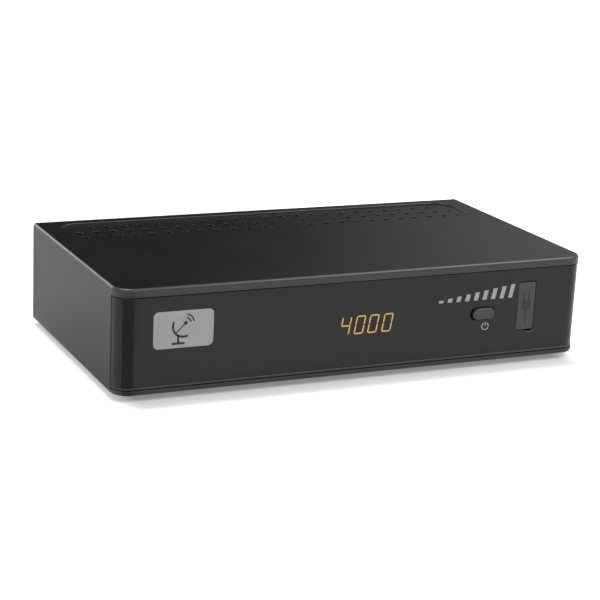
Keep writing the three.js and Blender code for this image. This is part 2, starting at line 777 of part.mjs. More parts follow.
// An upright USB socket that passes through the front board and is held by its lugs
function usbSocket() {
  const halfX = usb.width / 2;
  const halfZ = usb.tall / 2;
  const front = usbFront - frontBoardFace;
  const innerX = halfX - usb.shell;
  const innerZ = halfZ - usb.shell;
  const tongueX = usb.tongueShift;
  const lugX = [usb.shell - halfX, halfX - usb.shell];
  const lugY = [-seat - usbLug.thick, -seat];
  const lugLow = halfZ - usb.shell;
  const lugHigh = halfZ + usbLug.reach;
  const made = slab([-halfX, halfX], [front, front + usb.depth], [-halfZ, halfZ])
    .subtract(slab([-innerX, innerX], [front - overrun, front + usb.cavity], [-innerZ, innerZ]))
    .add(slab(
      [-tongueX - usb.tongue / 2, -tongueX + usb.tongue / 2],
      [front + overrun, front + usb.cavity + overrun],
      [-innerZ + usb.shell, innerZ - usb.shell],
    ))
    .add(slab(lugX, lugY, [lugLow, lugHigh]))
    .add(slab(lugX, lugY, [-lugHigh, -lugLow]));
  return piece("usb_socket", made, "nickel");
}

function frontHeaderBlock() {
  const halfX = frontHeader.width / 2;
  const halfZ = frontHeader.tall / 2;
  const made = slab([-halfX, halfX], [0, frontHeader.depth], [-halfZ, halfZ]);
  return piece("front_ribbon_connector", made, "whitePlastic");
}

// The ribbon leaves the front connector's back and bends down into the top of the main one
function ribbonCable() {
  const startY = frontBoardFace + frontBoard.thick + frontHeader.depth + 2 * seat;
  const endZ = mainBoardTop + mainHeader.tall + 2 * seat;
  const start = new THREE.Vector2(startY, frontHeaderZ);
  const end = new THREE.Vector2(mainBoard.front + mainHeader.fromFront, endZ);
  const curve = new THREE.CubicBezierCurve(
    start,
    new THREE.Vector2(start.x + ribbon.bulge, start.y),
    new THREE.Vector2(end.x, end.y + ribbon.lift),
    end,
  );
  const middles = curve.getPoints(ribbon.steps);
  const offset = (side) => middles.map((point, index) => {
    const along = curve.getTangent(index / ribbon.steps);
    const reach = (side * ribbon.thick) / 2;
    return new THREE.Vector2(point.x - along.y * reach, point.y + along.x * reach);
  });
  const strip = new THREE.Shape([...offset(-1), ...offset(1).reverse()]);
  const made = prism(strip, ribbonX - ribbon.width / 2, ribbonX + ribbon.width / 2, { along: "x" });
  return piece("ribbon_cable", made, "whitePlastic");
}

// On the main board, whose top face is the group's Z zero

function boardPlace(xShare, yShare) {
  return [(xShare - 1 / 2) * mainBoardSpan, mainBoard.front + yShare * mainBoardRun];
}

function mainBoardPlate() {
  let plate = slab([-mainBoardHalf, mainBoardHalf], [mainBoard.front, mainBoardEnd], [-mainBoard.thick, 0]);
  const holeRadius = boardScrew.shankRadius + screwHole;
  for (const place of boardScrewPlaces) {
    plate = plate.subtract(rod(holeRadius, -mainBoard.thick - overrun, overrun, place));
  }
  return piece("main_board", plate, "board");
}

// A flat package with a chamfered corner that marks pin one
function chip(name, { width, depth, tall }, [x, y]) {
  const right = width / 2;
  const back = depth / 2;
  const shape = outline([
    [pinOneChamfer - right, -back],
    [right, -back],
    [right, back],
    [-right, back],
    [-right, pinOneChamfer - back],
  ]);
  return at(piece(name, prism(shape, 0, tall), "chip"), x, y, seat);
}

function chips() {
  const { size, tall, xShare, yShare } = processor;
  return [
    chip("processor_chip", { width: size, depth: size, tall }, boardPlace(xShare, yShare)),
    ...memory.xShares.map((share, index) =>
      chip("memory_chip_" + (index + 1), memory, boardPlace(share, memory.yShare))),
    chip("flash_chip", flash, boardPlace(flash.xShare, flash.yShare)),
  ];
}

function heatSink() {
  const half = sink.size / 2;
  const pitch = (sink.size - sink.fin) / (sink.fins - 1);
  let made = slab([-half, half], [-half, half], [0, sink.base]);
  for (let index = 0; index < sink.fins; index += 1) {
    const x = index * pitch - half;
    made = made.add(slab([x, x + sink.fin], [-half, half], [sink.base / 2, sink.base + sink.finTall]));
  }
  const [x, y] = boardPlace(processor.xShare, processor.yShare);
  return at(piece("heat_sink", made, "aluminium"), x, y, processor.tall + 2 * seat);
}

function clockCrystal() {
  const made = prism(stadium(crystal.length, crystal.width), 0, crystal.tall, { round: crystal.round });
  const [x, y] = boardPlace(crystal.xShare, crystal.yShare);
  return at(piece("clock_crystal", made, "nickel"), x, y, seat);
}

function filterCapacitors() {
  const { radius, tall, crimp, crimpHeight, bead } = capacitor;
  const profile = [
    [0, 0],
    [radius, 0],
    [radius, crimpHeight - bead],
    [radius - crimp, crimpHeight],
    [radius, crimpHeight + bead],
    [radius, tall - bead],
    [radius - bead, tall],
    [0, tall],
  ];
  return capacitor.xShares.map((share, index) => {
    const [x, y] = boardPlace(share, capacitor.yShare);
    return at(piece("filter_capacitor_" + (index + 1), turned(profile, smallSides), "sleeve"), x, y, seat);
  });
}

function powerInductors() {
  const half = inductor.size / 2;
  return inductor.xShares.map((share, index) => {
    const [x, y] = boardPlace(share, inductor.yShare);
    const made = slab([-half, half], [-half, half], [0, inductor.tall])
      .add(rod(inductor.coil, inductor.tall / 2, inductor.tall + inductor.coilProud));
    return at(piece("power_inductor_" + (index + 1), made, "chip"), x, y, seat);
  });
}

function mainHeaderBlock() {
  const halfX = mainHeader.width / 2;
  const halfY = mainHeader.depth / 2;
  const y = mainBoard.front + mainHeader.fromFront;
  const made = slab([-halfX, halfX], [-halfY, halfY], [0, mainHeader.tall]);
  return at(piece("main_ribbon_connector", made, "whitePlastic"), ribbonX, y, seat);
}

// Rear sockets, each standing on the main board; their noses pass through the rear panel

// A block on the board with a round nose out through the rear panel and a blind bore in it
function roundJack(name, size, x, finish) {
  const noseEnd = rearFace + size.proud;
  const shoulder = rearInner - fit;
  const middle = [0, size.tall / 2];
  const boreEnd = noseEnd - size.boreDepth;
  let made = slab([-size.width / 2, size.width / 2], [shoulder - size.depth, shoulder], [0, size.tall])
    .add(rod(size.nose, shoulder - size.depth / 2, noseEnd, middle, { along: "y", count: sides }));
  if (size.collar) {
    const collarEnd = rearFace + seat + size.collarThick;
    made = made.add(rod(size.collar, rearFace + seat, collarEnd, middle, { along: "y", count: sides }));
  }
  made = made.subtract(rod(size.bore, boreEnd, noseEnd + overrun, middle, { along: "y" }));
  if (size.pin) {
    made = made.add(rod(size.pin, boreEnd - overrun, noseEnd - overrun, middle, { along: "y" }));
  }
  return at(piece(name, made, finish), x, 0, seat);
}

function hdmiShape(inset) {
  const right = hdmi.width / 2 - inset;
  const high = hdmi.tall - inset;
  const cut = hdmi.chamfer;
  return outline([
    [cut - right, inset],
    [right - cut, inset],
    [right, inset + cut],
    [right, high],
    [-right, high],
    [-right, inset + cut],
  ]);
}

function hdmiSocket() {
  const end = rearFace + hdmi.proud;
  const middle = hdmi.tall / 2;
  const reach = hdmi.width / 2 - hdmi.shell - hdmi.tongueInset;
  const tongueZ = [middle - hdmi.tongue / 2, middle + hdmi.tongue / 2];
  const made = prism(hdmiShape(0), end - hdmi.depth, end, { along: "y" })
    .subtract(prism(hdmiShape(hdmi.shell), end - hdmi.cavity, end + overrun, { along: "y" }))
    .add(slab([-reach, reach], [end - hdmi.cavity - overrun, end - overrun], tongueZ));
  return at(piece("hdmi_socket", made, "nickel"), portX.hdmi, 0, seat);
}

// The slanted-end outline of a twenty-one pin audio and video socket
function scartShape(inset) {
  const right = scart.width / 2 - inset;
  const high = scart.tall - inset;
  return outline([
    [-right, inset],
    [right - scart.slant, inset],
    [right, inset + scart.slant],
    [right, high],
    [-right, high],
  ]);
}

function scartSocket() {
  const end = rearFace + scart.proud;
  const cavityStart = end - scart.cavity;
  const core = prism(scartShape(scart.rim + scart.channel), cavityStart - overrun, end, { along: "y" });
  const channel = prism(scartShape(scart.rim), cavityStart, end + overrun, { along: "y" }).subtract(core);
  const made = prism(scartShape(0), end - scart.depth, end, { along: "y" }).subtract(channel);
  return at(piece("scart_socket", made, "blackPlastic"), portX.scart, 0, seat);
}

function tunerCan() {
  const halfX = tuner.width / 2;
  const back = rearInner - tuner.backGap;
  const lidX = halfX - tuner.lidInset;
  const made = slab([-halfX, halfX], [back - tuner.depth, back], [0, tuner.tall - tuner.lid])
    .add(prism(
      roundedRectangle(2 * lidX, tuner.depth - 2 * tuner.lidInset, tuner.edge, [0, back - tuner.depth / 2]),
      tuner.tall / 2,
      tuner.tall,
    ));
  return at(piece("tuner_can", made, "steel"), portX.tuner, 0, seat);
}

// An F connector: flange against the tuner can, threaded barrel out through the rear panel
function fConnector(name, x) {
  const start = rearInner - tuner.backGap + seat;
  const length = caseDepth + fPlug.proud - start;
  const profile = [
    [0, 0],
    [fPlug.flange, 0],
    [fPlug.flange, fPlug.flangeThick],
    [fPlug.thread, fPlug.flangeThick],
    [fPlug.thread, length - fPlug.lead],
    [fPlug.thread - fPlug.lead, length],
    [fPlug.bore, length],
    [fPlug.bore, length - fPlug.boreDepth],
    [0, length - fPlug.boreDepth],
  ];
  const made = piece(name, turned(profile), "nickel");
  made.geometry.applyMatrix4(turns.back);
  return at(made, x, start, fPlugZ + seat);
}

function hexNut(name, x) {
  const radius = nut.across / 2 / Math.cos(Math.PI / hexagon);
  const start = rearFace + seat;
  const end = start + nut.thick;
  const bore = fPlug.thread + nut.play;
  const made = rod(radius, start, end, [0, 0], { along: "y", count: hexagon })
    .subtract(rod(bore, start - overrun, end + overrun, [0, 0], { along: "y", count: sides }));
  return at(piece(name, made, "nickel"), x, 0, fPlugZ + seat);
}

function powerSwitch() {
  const halfX = switchBody.length / 2;
  const inner = rearFace - switchBody.inner;
  const bezelX = switchBody.bezelLength / 2;
  const bezelLow = (switchBody.tall - switchBody.bezelTall) / 2;
  const outer = rearFace + seat + switchBody.bezelThick;
  const hollow = rocker.radius + rocker.gap;
  const halfTall = rocker.tall / 2 + rocker.gap;
  const swing = rocker.radius * Math.sin(THREE.MathUtils.degToRad(rocker.vee));
  const deepest = pivotY - rocker.back - swing - rocker.gap;
  const stub = rocker.trunnion + rocker.gap;
  const hollowShape = rod(hollow, switchZ - halfTall, switchZ + halfTall, [0, pivotY], { count: 2 * sides })
    .intersect(slab([-hollow, hollow], [deepest, outer + hollow], [0, switchBody.tall]));
  const made = slab([-halfX, halfX], [inner, rearFace + seat], [0, switchBody.tall])
    .add(slab([-bezelX, bezelX], [rearFace + seat, outer], [bezelLow, switchBody.tall - bezelLow]))
    .subtract(hollowShape)
    .subtract(rod(stub, switchZ - halfTall - rocker.stub, switchZ + halfTall + rocker.stub, [0, pivotY]));
  return at(piece("power_switch_body", made, "blackPlastic"), portX.powerSwitch, 0, seat);
}

// A shallow V on a half disc, drawn round its own trunnions and tilted to its on side
function powerRocker() {
  const rise = Math.tan(THREE.MathUtils.degToRad(rocker.vee));
  const reach = rocker.radius + overrun;
  const half = rocker.tall / 2;
  const below = outline([
    [-reach, -rocker.back],
    [reach, -rocker.back],
    [reach, rocker.face + rise * reach],
    [0, rocker.face],
    [-reach, rocker.face + rise * reach],
  ]);
  const made = rod(rocker.radius, -half, half, [0, 0], { count: 2 * sides })
    .intersect(prism(below, -half, half))
    .add(rod(rocker.trunnion, -half - rocker.stub, half + rocker.stub));
  const mesh = piece("power_rocker", made, "blackPlastic");
  mesh.rotation.z = THREE.MathUtils.degToRad(rocker.vee);
  return at(mesh, portX.powerSwitch, pivotY, switchZ + seat);
}

function rearPanelPlate() {
  const inset = wall + fit;
  const y = [rearInner, rearFace];
  const through = [rearInner - overrun, rearFace + overrun];
  const lift = mainBoardTop + seat;
  const high = roofLow - fit;
  let plate = slab([inset - halfWidth, halfWidth - inset], y, [trayTop + fit, high]);
  const window = (x, width, tall) => slab(
    [x - width / 2 - portGap, x + width / 2 + portGap],
    through,
    [lift - portGap, lift + tall + portGap],
  );
  const hole = (x, radius, z) => rod(radius + portGap, ...through, [x, z], { along: "y", count: sides });
  plate = plate
    .subtract(window(portX.powerSwitch, switchBody.length, switchBody.tall))
    .subtract(hole(portX.dcJack, dcJack.nose, lift + dcJack.tall / 2))
    .subtract(hole(portX.serviceJack, serviceJack.nose, lift + serviceJack.tall / 2))
    .subtract(hole(portX.coaxJack, coaxJack.nose, lift + coaxJack.tall / 2))
    .subtract(window(portX.hdmi, hdmi.width, hdmi.tall))
    .subtract(window(portX.scart, scart.width, scart.tall));
  for (const side of [-1, 1]) {
    plate = plate
      .subtract(hole(portX.tuner + (side * fPlug.spread) / 2, fPlug.thread, lift + fPlugZ))
      .subtract(hole(side * rearScrewX, rearScrew.shankRadius, rearPost.screwHeight));
  }
  for (let index = 0; index < rearVent.count; index += 1) {
    const x = (index - (rearVent.count - 1) / 2) * rearVent.pitch;
    plate = plate.subtract(slab(
      [x - rearVent.width / 2, x + rearVent.width / 2],
      through,
      [high - rearVent.topGap - rearVent.tall, high - rearVent.topGap],
    ));
  }
  return piece("rear_panel", plate, "blackSteel");
}

function rearScrews() {
  return [-1, 1].map((side, index) => {
    const made = screw("rear_panel_screw_" + (index + 1), rearScrew, "steel");
    made.rotation.x = Math.PI / 2;
    return at(made, side * rearScrewX, rearFace + seat, rearPost.screwHeight);
  });
}

// The receiver, with its underside's middle at the origin
const fSpread = fPlug.spread / 2;
const frontMost = panel.set - button.proud;
const rearMost = caseDepth + fPlug.proud;
const caseGroup = group(
  [0, -(frontMost + rearMost) / 2, footHeight],
  topCover(),
  baseTray(),
  rearPanelPlate(),
  frontPanel(),
  ...feet(),
  ...caseScrews(),
  ...rearScrews(),
  at(powerButton(), buttonX, panelBack, panelMiddle),
  at(usbFlap(), flapX, hingeY, hingeZ),
  at(usbFlapPin(), flapX, hingeY, hingeZ),
  frontBoardGroup(),
  ribbonCable(),
  ...boardScrews(),
  group(
    [0, 0, mainBoardTop],
    mainBoardPlate(),
    ...chips(),
    heatSink(),
    clockCrystal(),
    ...filterCapacitors(),
    ...powerInductors(),
    mainHeaderBlock(),
    powerSwitch(),
    powerRocker(),
    roundJack("dc_jack", dcJack, portX.dcJack, "blackPlastic"),
    roundJack("service_jack", serviceJack, portX.serviceJack, "blackPlastic"),
    roundJack("coax_audio_jack", coaxJack, portX.coaxJack, "orange"),
    hdmiSocket(),
    scartSocket(),
    tunerCan(),
    fConnector("lnb_out_connector", portX.tuner - fSpread),
    fConnector("lnb_in_connector", portX.tuner + fSpread),
    hexNut("lnb_out_nut", portX.tuner - fSpread),
    hexNut("lnb_in_nut", portX.tuner + fSpread),
  ),
);

const receiver = new THREE.Group();
receiver.add(caseGroup);

export default receiver;
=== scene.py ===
import math

import bmesh
import bpy
from mathutils import Matrix, Vector


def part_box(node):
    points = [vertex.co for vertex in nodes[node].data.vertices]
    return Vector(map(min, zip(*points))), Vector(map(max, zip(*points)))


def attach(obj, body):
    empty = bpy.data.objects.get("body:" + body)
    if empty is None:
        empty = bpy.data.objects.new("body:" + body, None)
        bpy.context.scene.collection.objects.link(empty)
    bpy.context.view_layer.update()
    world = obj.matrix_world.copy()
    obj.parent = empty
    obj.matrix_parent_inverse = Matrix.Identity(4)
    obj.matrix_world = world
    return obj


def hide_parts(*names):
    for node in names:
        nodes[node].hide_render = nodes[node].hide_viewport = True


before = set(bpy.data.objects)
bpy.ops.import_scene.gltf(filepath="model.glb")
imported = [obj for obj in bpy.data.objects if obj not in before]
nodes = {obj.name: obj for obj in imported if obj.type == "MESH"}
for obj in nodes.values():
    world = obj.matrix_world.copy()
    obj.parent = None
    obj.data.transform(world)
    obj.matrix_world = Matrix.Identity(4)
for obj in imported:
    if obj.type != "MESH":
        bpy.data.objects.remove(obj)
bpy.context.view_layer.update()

mm = 0.001
mergeNear = 0.000001
straight = 0.999      # how closely an edge has to follow an axis to run along it
sameLevel = 0.01      # how near an edge has to be to a level to lie at it
shy = 0.01            # what a full round stops short of half a width
arcStep = 8           # degrees in one step of a printed arc
arcSteps = 8          # the fewest steps of an arc
noiseSum = (0.6, 1.4)  # where two noises added up mostly lie
cardCuts = 19         # how finely a card is cut before it is laid out
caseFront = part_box("top_cover")[0].y / mm    # the case's front face, where depth is measured from
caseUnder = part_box("top_cover")[0].z / mm    # the case's underside, where height is measured from
print("stage: frame loaded,", len(nodes), "CAD nodes")


# A dictionary of sizes or looks whose entries are also read as attributes
class Settings(dict):
    __getattr__ = dict.__getitem__


# Camera, at the photograph's viewing angle

cameraPlace = Settings(
    centre=(-0.33098, -0.69894, 0.23779), right=(0.90819, -0.41595, 0.04668), up=(0.07340, 0.26807, 0.96060),
    forward=(0.41208, 0.86898, -0.27399), lens=105.45, sensor=36, near=0.05, far=50)


def makeCamera(s):
    data = bpy.data.cameras.new("photoCamera")
    data.lens = s.lens
    data.sensor_width = s.sensor
    data.clip_start = s.near
    data.clip_end = s.far
    camera = bpy.data.objects.new("photoCamera", data)
    bpy.context.scene.collection.objects.link(camera)
    axes = Matrix([s.right, s.up, [-part for part in s.forward]]).transposed()
    camera.matrix_world = Matrix.Translation(s.centre) @ axes.to_4x4()
    bpy.context.scene.camera = camera


makeCamera(cameraPlace)
print("stage: camera")


# Modelling helpers. Sizes are millimetres: x from the middle, y from the case's front, z from its underside

def place(x, y, z):
    return Vector((x, y + caseFront, z + caseUnder)) * mm


# Tests of an edge: that it runs along an axis, that it lies at one of some levels of an axis, that it doesn't
def along(axis):
    return lambda edge: abs((edge.verts[1].co - edge.verts[0].co).normalized()[axis]) > straight


def level(axis, *values):
    start = (0, caseFront, caseUnder)[axis]
    return lambda edge: any(all(abs(vert.co[axis] / mm - start - value) < sameLevel for vert in edge.verts)
                            for value in values)


def without(test):
    return lambda edge: not test(edge)


def deselectAll():
    if bpy.context.object and bpy.context.object.mode != "OBJECT":
        bpy.ops.object.mode_set(mode="OBJECT")
    bpy.ops.object.select_all(action="DESELECT")


def only(piece):
    deselectAll()
    piece.select_set(True)
    bpy.context.view_layer.objects.active = piece
    return piece


def setInMesh(piece):
    only(piece)
    bpy.ops.object.transform_apply(location=True, rotation=True, scale=True)
    return piece


def block(name, low, high):
    deselectAll()
    start, end = place(*low), place(*high)
    bpy.ops.mesh.primitive_cube_add(size=1, location=(start + end) / 2, scale=end - start)
    bpy.context.object.name = name
    return setInMesh(bpy.context.object)


# A block round a middle (x, z), from one depth to another
def slab(name, middle, halves, depths):
    (x, z), (halfX, halfZ) = middle, halves
    return block(name, (x - halfX, depths[0], z - halfZ), (x + halfX, depths[1], z + halfZ))


def barrel(name, radius, start, end, sides=48):
    deselectAll()
    start, end = place(*start), place(*end)
    turn = (end - start).to_track_quat("Z", "Y").to_euler()
    bpy.ops.mesh.primitive_cylinder_add(
        vertices=sides, radius=radius * mm, depth=(end - start).length, location=(start + end) / 2, rotation=turn)
    bpy.context.object.name = name
    return setInMesh(bpy.context.object)


# An upright oval bar from one depth to another
def oval(name, middle, halves, depths):
    bar = barrel(name, 1, (0, depths[0], 0), (0, depths[1], 0), 40)
    start = Matrix.Translation(place(0, 0, 0))
    bar.data.transform(Matrix.Translation(place(middle[0], 0, middle[1]))
                       @ Matrix.Diagonal((halves[0], 1, halves[1], 1)) @ start.inverted())
    return bar


# Rounds the edges that pass every test
def roundEdges(piece, radius, segments, *tests):
    only(piece)
    bpy.ops.object.mode_set(mode="EDIT")
    bpy.ops.mesh.select_mode(type="EDGE")
    bpy.ops.mesh.select_all(action="DESELECT")
    mesh = bmesh.from_edit_mesh(piece.data)
    chosen = [edge for edge in mesh.edges if all(test(edge) for test in tests)]
    for edge in chosen:
        edge.select_set(True)
    bmesh.update_edit_mesh(piece.data)
    if chosen:
        bpy.ops.mesh.bevel(offset=radius * mm, segments=segments, profile=0.5, affect="EDGES", clamp_overlap=False)
    bpy.ops.object.mode_set(mode="OBJECT")
    return piece


def roundBlock(name, low, high, axis, radius, segments):
    return roundEdges(block(name, low, high), radius, segments, along(axis))


# Breaks every sharp edge that is left, as a mould or a tumbler does
def breakEdges(piece, width, segments=2, angle=40):
    only(piece)
    modifier = piece.modifiers.new("broken edges", "BEVEL")
    modifier.width = width * mm
    modifier.segments = segments
    modifier.limit_method = "ANGLE"
    modifier.angle_limit = math.radians(angle)
    bpy.ops.object.modifier_apply(modifier=modifier.name)
    return piece


def discard(*pieces):
    for piece in pieces:
        bpy.data.objects.remove(piece, do_unlink=True)


def combine(piece, other, operation="DIFFERENCE"):
    only(piece)
    modifier = piece.modifiers.new("shape", "BOOLEAN")
    modifier.operation = operation
    modifier.solver = "EXACT"
    modifier.object = other
    bpy.ops.object.modifier_apply(modifier=modifier.name)
    discard(other)
    return piece


def cut(piece, *cutters):
    for cutter in cutters:
        combine(piece, cutter)
    return piece


def unite(piece, *others):
    for other in others:
        combine(piece, other, "UNION")
    return piece


def copyOf(piece, name, shift=(0, 0, 0)):
    copied = piece.copy()
    copied.data = piece.data.copy()
    copied.name = name
    bpy.context.scene.collection.objects.link(copied)
    copied.data.transform(Matrix.Translation(Vector(shift) * mm))
    return copied


def join(name, pieces):
    deselectAll()
    for piece in pieces:
        piece.select_set(True)
    bpy.context.view_layer.objects.active = pieces[0]
    bpy.ops.object.join()
    bpy.context.object.name = name
    return bpy.context.object


# Copies a piece to each shift and joins the copies; the first one goes
def spread(piece, shifts):
    copies = [copyOf(piece, piece.name, shift) for shift in shifts]
    discard(piece)
    return join("row", copies)


# A turned piece about +Z at the origin, extruded ring by ring along its (radius, height) profile
def turned(name, profile, sides=48):
    deselectAll()
    radius, height = profile[0]
    bpy.ops.mesh.primitive_circle_add(
        vertices=sides, radius=radius * mm, fill_type="NGON", location=(0, 0, height * mm))
    piece = bpy.context.object
    piece.name = name
    setInMesh(piece)
    bpy.ops.object.mode_set(mode="EDIT")
    bpy.ops.mesh.select_mode(type="FACE")
    bpy.ops.mesh.select_all(action="SELECT")
    for nextRadius, nextHeight in profile[1:]:
        rise = (0, 0, (nextHeight - height) * mm)
        bpy.ops.mesh.extrude_region_move(TRANSFORM_OT_translate={"value": rise})
        ratio = nextRadius / radius
        bpy.ops.transform.resize(value=(ratio, ratio, 1), center_override=(0, 0, nextHeight * mm))
        radius, height = nextRadius, nextHeight
    bpy.ops.mesh.select_all(action="SELECT")
    bpy.ops.mesh.normals_make_consistent(inside=False)
    bpy.ops.object.mode_set(mode="OBJECT")
    return piece


# Turns a piece drawn up +Z to face another way, then sets it at its place
def setAt(piece, spot, facing="up"):
    turns = {"up": (0, "X"), "down": (180, "X"), "back": (-90, "X"), "front": (90, "X")}
    angle, axis = turns[facing]
    piece.data.transform(Matrix.Rotation(math.radians(angle), 4, axis))
    piece.data.transform(Matrix.Translation(place(*spot)))
    return piece


def turnAbout(piece, degrees, axis, spot):
    centre = Matrix.Translation(place(*spot))
    piece.data.transform(centre @ Matrix.Rotation(math.radians(degrees), 4, axis) @ centre.inverted())
    return piece


# Leans a piece on the front to the right, about a height
def lean(piece, degrees, z):
    centre = Matrix.Translation(place(0, 0, z))
    slant = Matrix.Identity(4)
    slant[0][2] = math.tan(math.radians(degrees))
    piece.data.transform(centre @ slant @ centre.inverted())
    return piece


# A flat printed arc on a face that looks to the front, spun from one small square
def arcMark(name, centre, radius, width, angles, depth):
    deselectAll()
    x, z = centre
    start, sweep = angles[0], angles[1] - angles[0]
    low = place(x + radius - width / 2, depth[0], z - width / 2)
    high = place(x + radius + width / 2, depth[1], z + width / 2)
    bpy.ops.mesh.primitive_plane_add(size=1, location=(low + high) / 2)
    piece = bpy.context.object
    piece.name = name
    piece.scale = (high.x - low.x, high.y - low.y, 1)
    setInMesh(piece)
    turnAbout(piece, -start, "Y", (x, 0, z))
    bpy.ops.object.mode_set(mode="EDIT")
    bpy.ops.mesh.select_all(action="SELECT")
    bpy.ops.mesh.spin(steps=max(arcSteps, round(abs(sweep) / arcStep)), angle=math.radians(sweep),
                      center=place(x, 0, z), axis=(0, 1, 0))
    bpy.ops.mesh.select_all(action="SELECT")
    bpy.ops.mesh.remove_doubles(threshold=mergeNear)
    bpy.ops.mesh.normals_make_consistent(inside=False)
    bpy.ops.object.mode_set(mode="OBJECT")
    return piece


def finishPiece(piece, name, material, slot, body="case", replaces=(), angle=40):
    only(piece)
    bpy.ops.object.mode_set(mode="EDIT")
    bpy.ops.mesh.select_all(action="SELECT")
    bpy.ops.mesh.remove_doubles(threshold=mergeNear)
    bpy.ops.object.mode_set(mode="OBJECT")
    bpy.ops.object.shade_smooth_by_angle(angle=math.radians(angle))
    modifier = piece.modifiers.new("even shading", "WEIGHTED_NORMAL")
    modifier.keep_sharp = True
    bpy.ops.object.modifier_apply(modifier=modifier.name)
    piece.name = name
    piece.data.name = name
    piece.data.materials.clear()
    piece.data.materials.append(material)
    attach(piece, body)
    if replaces:
        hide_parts(*replaces)
    return piece


# Materials, each named for the real material and how its surface was made

def linear(hexColour):
    parts = [int(hexColour[i:i + 2], 16) / 255 for i in (1, 3, 5)]
    return [p / 12.92 if p <= 0.04045 else ((p + 0.055) / 1.055) ** 2.4 for p in parts] + [1.0]


# Adds a node, links its inputs to the outputs of others and sets the rest; gives back its own outputs
def addNode(owner, kind, values=None):
    node = owner.node_tree.nodes.new("ShaderNode" + kind)
    for key, value in (values or {}).items():
        if isinstance(value, bpy.types.NodeSocket):
            owner.node_tree.links.new(value, node.inputs[key])
        elif isinstance(key, str) and hasattr(node, key):
            setattr(node, key, value)
        else:
            node.inputs[key].default_value = value
    return node.outputs


def newMaterial(name, s):
    material = bpy.data.materials.new(name)
    material.use_nodes = True
    shader = material.node_tree.nodes["Principled BSDF"]
    shader.inputs["Base Color"].default_value = linear(s.colour)
    shader.inputs["Roughness"].default_value = s.roughness
    shader.inputs["Metallic"].default_value = s.get("metallic", 0)
    shader.inputs["Specular IOR Level"].default_value = s.get("specular", 0.5)
    where = addNode(material, "TexCoord")["Object"]
    return material, shader, where


def wire(owner, node, links):
    for socket, source in links.items():
        owner.node_tree.links.new(source, node.inputs[socket])


# Colour clouds, an uneven gloss and a fine grain, each at its own size in millimetres
def surfaceFinish(name, **looks):
    s = Settings(looks)
    material, shader, where = newMaterial(name, s)
    where = addNode(material, "Mapping", {"Scale": s.get("stretch", (1, 1, 1)), "Vector": where})["Vector"]
    cloud = addNode(material, "TexNoise", {"Scale": 1 / (s.cloud * mm), "Detail": 4, "Vector": where})["Fac"]
    tone = addNode(material, "Mix", {"data_type": "RGBA", 0: cloud, 6: linear(s.colour), 7: linear(s.paler)})[2]
    grain = addNode(material, "TexNoise", {"Scale": 1 / (s.grain * mm), "Detail": 2, "Vector": where})["Fac"]
    both = addNode(material, "Math", {"operation": "ADD", 0: cloud, 1: grain})[0]
    gloss = addNode(material, "MapRange", {
        0: both, 1: noiseSum[0], 2: noiseSum[1], 3: s.roughness - s.uneven, 4: s.roughness + s.uneven})[0]
    bump = addNode(material, "Bump", {
        "Strength": s.get("strength", 0.5), "Distance": s.height * mm, "Height": grain})["Normal"]
    wire(material, shader, {"Base Color": tone, "Roughness": gloss, "Normal": bump})
    return material


# ABS from a spark-eroded mould: a dark grey that scatters light softly over a grain of about 0.3 mm
caseAbs = surfaceFinish("caseAbs_sparkErodedMoulding",
    colour="#101011", paler="#141415", roughness=0.31, uneven=0.03, specular=0.64, cloud=35, grain=0.35, height=0.012,
    strength=0.35)

# Smoked acrylic from a polished mould: nearly black and mirror-like, with a slow ripple of a few millimetres
panelAcrylic = surfaceFinish("panelAcrylic_polishedMoulding",
    colour="#0b0b0c", paler="#0d0d0e", roughness=0.09, uneven=0.02, specular=0.36, cloud=18, grain=5, height=0.004,
    strength=0.25)

# ABS with a satin mould face: mid grey, an even sheen and a grain finer than the case's
buttonAbs = surfaceFinish("buttonAbs_satinMoulding",
    colour="#393939", paler="#3d3d3d", roughness=0.36, uneven=0.03, cloud=9, grain=0.25, height=0.008, strength=0.35)

# Thermoplastic rubber, moulded: flat black with a dusty bloom
rubberFoot = surfaceFinish("footRubber_moulded",
    colour="#161616", paler="#262626", roughness=0.8, uneven=0.1, cloud=3, grain=0.4, height=0.03)

# Mild steel, zinc plated and clear passivated: bluish silver with cloudy patches
zincSteel = surfaceFinish("screwSteel_zincPlated",
    colour="#9aa0a6", paler="#c3c6c8", roughness=0.34, uneven=0.1, metallic=1, cloud=1.6, grain=0.25, height=0.006)

# Sheet steel, powder coated: black with the orange-peel of melted powder, about 1 mm across
powderCoat = surfaceFinish("sheetSteel_blackPowderCoat",
    colour="#1b1b1c", paler="#222223", roughness=0.5, uneven=0.06, cloud=20, grain=0.9, height=0.03)

# Brass, barrel nickel plated: warm bright metal with faint handling marks
nickelPlate = surfaceFinish("brass_nickelPlated",
    colour="#b9b3a6", paler="#cfcabf", roughness=0.24, uneven=0.08, metallic=1, cloud=4, grain=0.6, height=0.004)

# Gold flash over nickel on the contacts
goldFlash = surfaceFinish("contact_goldFlash",
    colour="#c99b3f", paler="#dcb45c", roughness=0.25, uneven=0.05, metallic=1, cloud=2, grain=0.3, height=0.002)

# Glass-filled nylon: black, dull, with pale fibre streaks along the flow
blackNylon = surfaceFinish("socketNylon_black",
    colour="#151516", paler="#202021", roughness=0.48, uneven=0.08, stretch=(1, 0.35, 1), cloud=2.5, grain=0.3,
    height=0.012)

# Natural nylon, moulded: warm off-white with a waxy sheen
whiteNylon = surfaceFinish("connectorNylon_natural",
    colour="#d8d5ca", paler="#e4e1d8", roughness=0.45, uneven=0.05, cloud=4, grain=0.5, height=0.006)

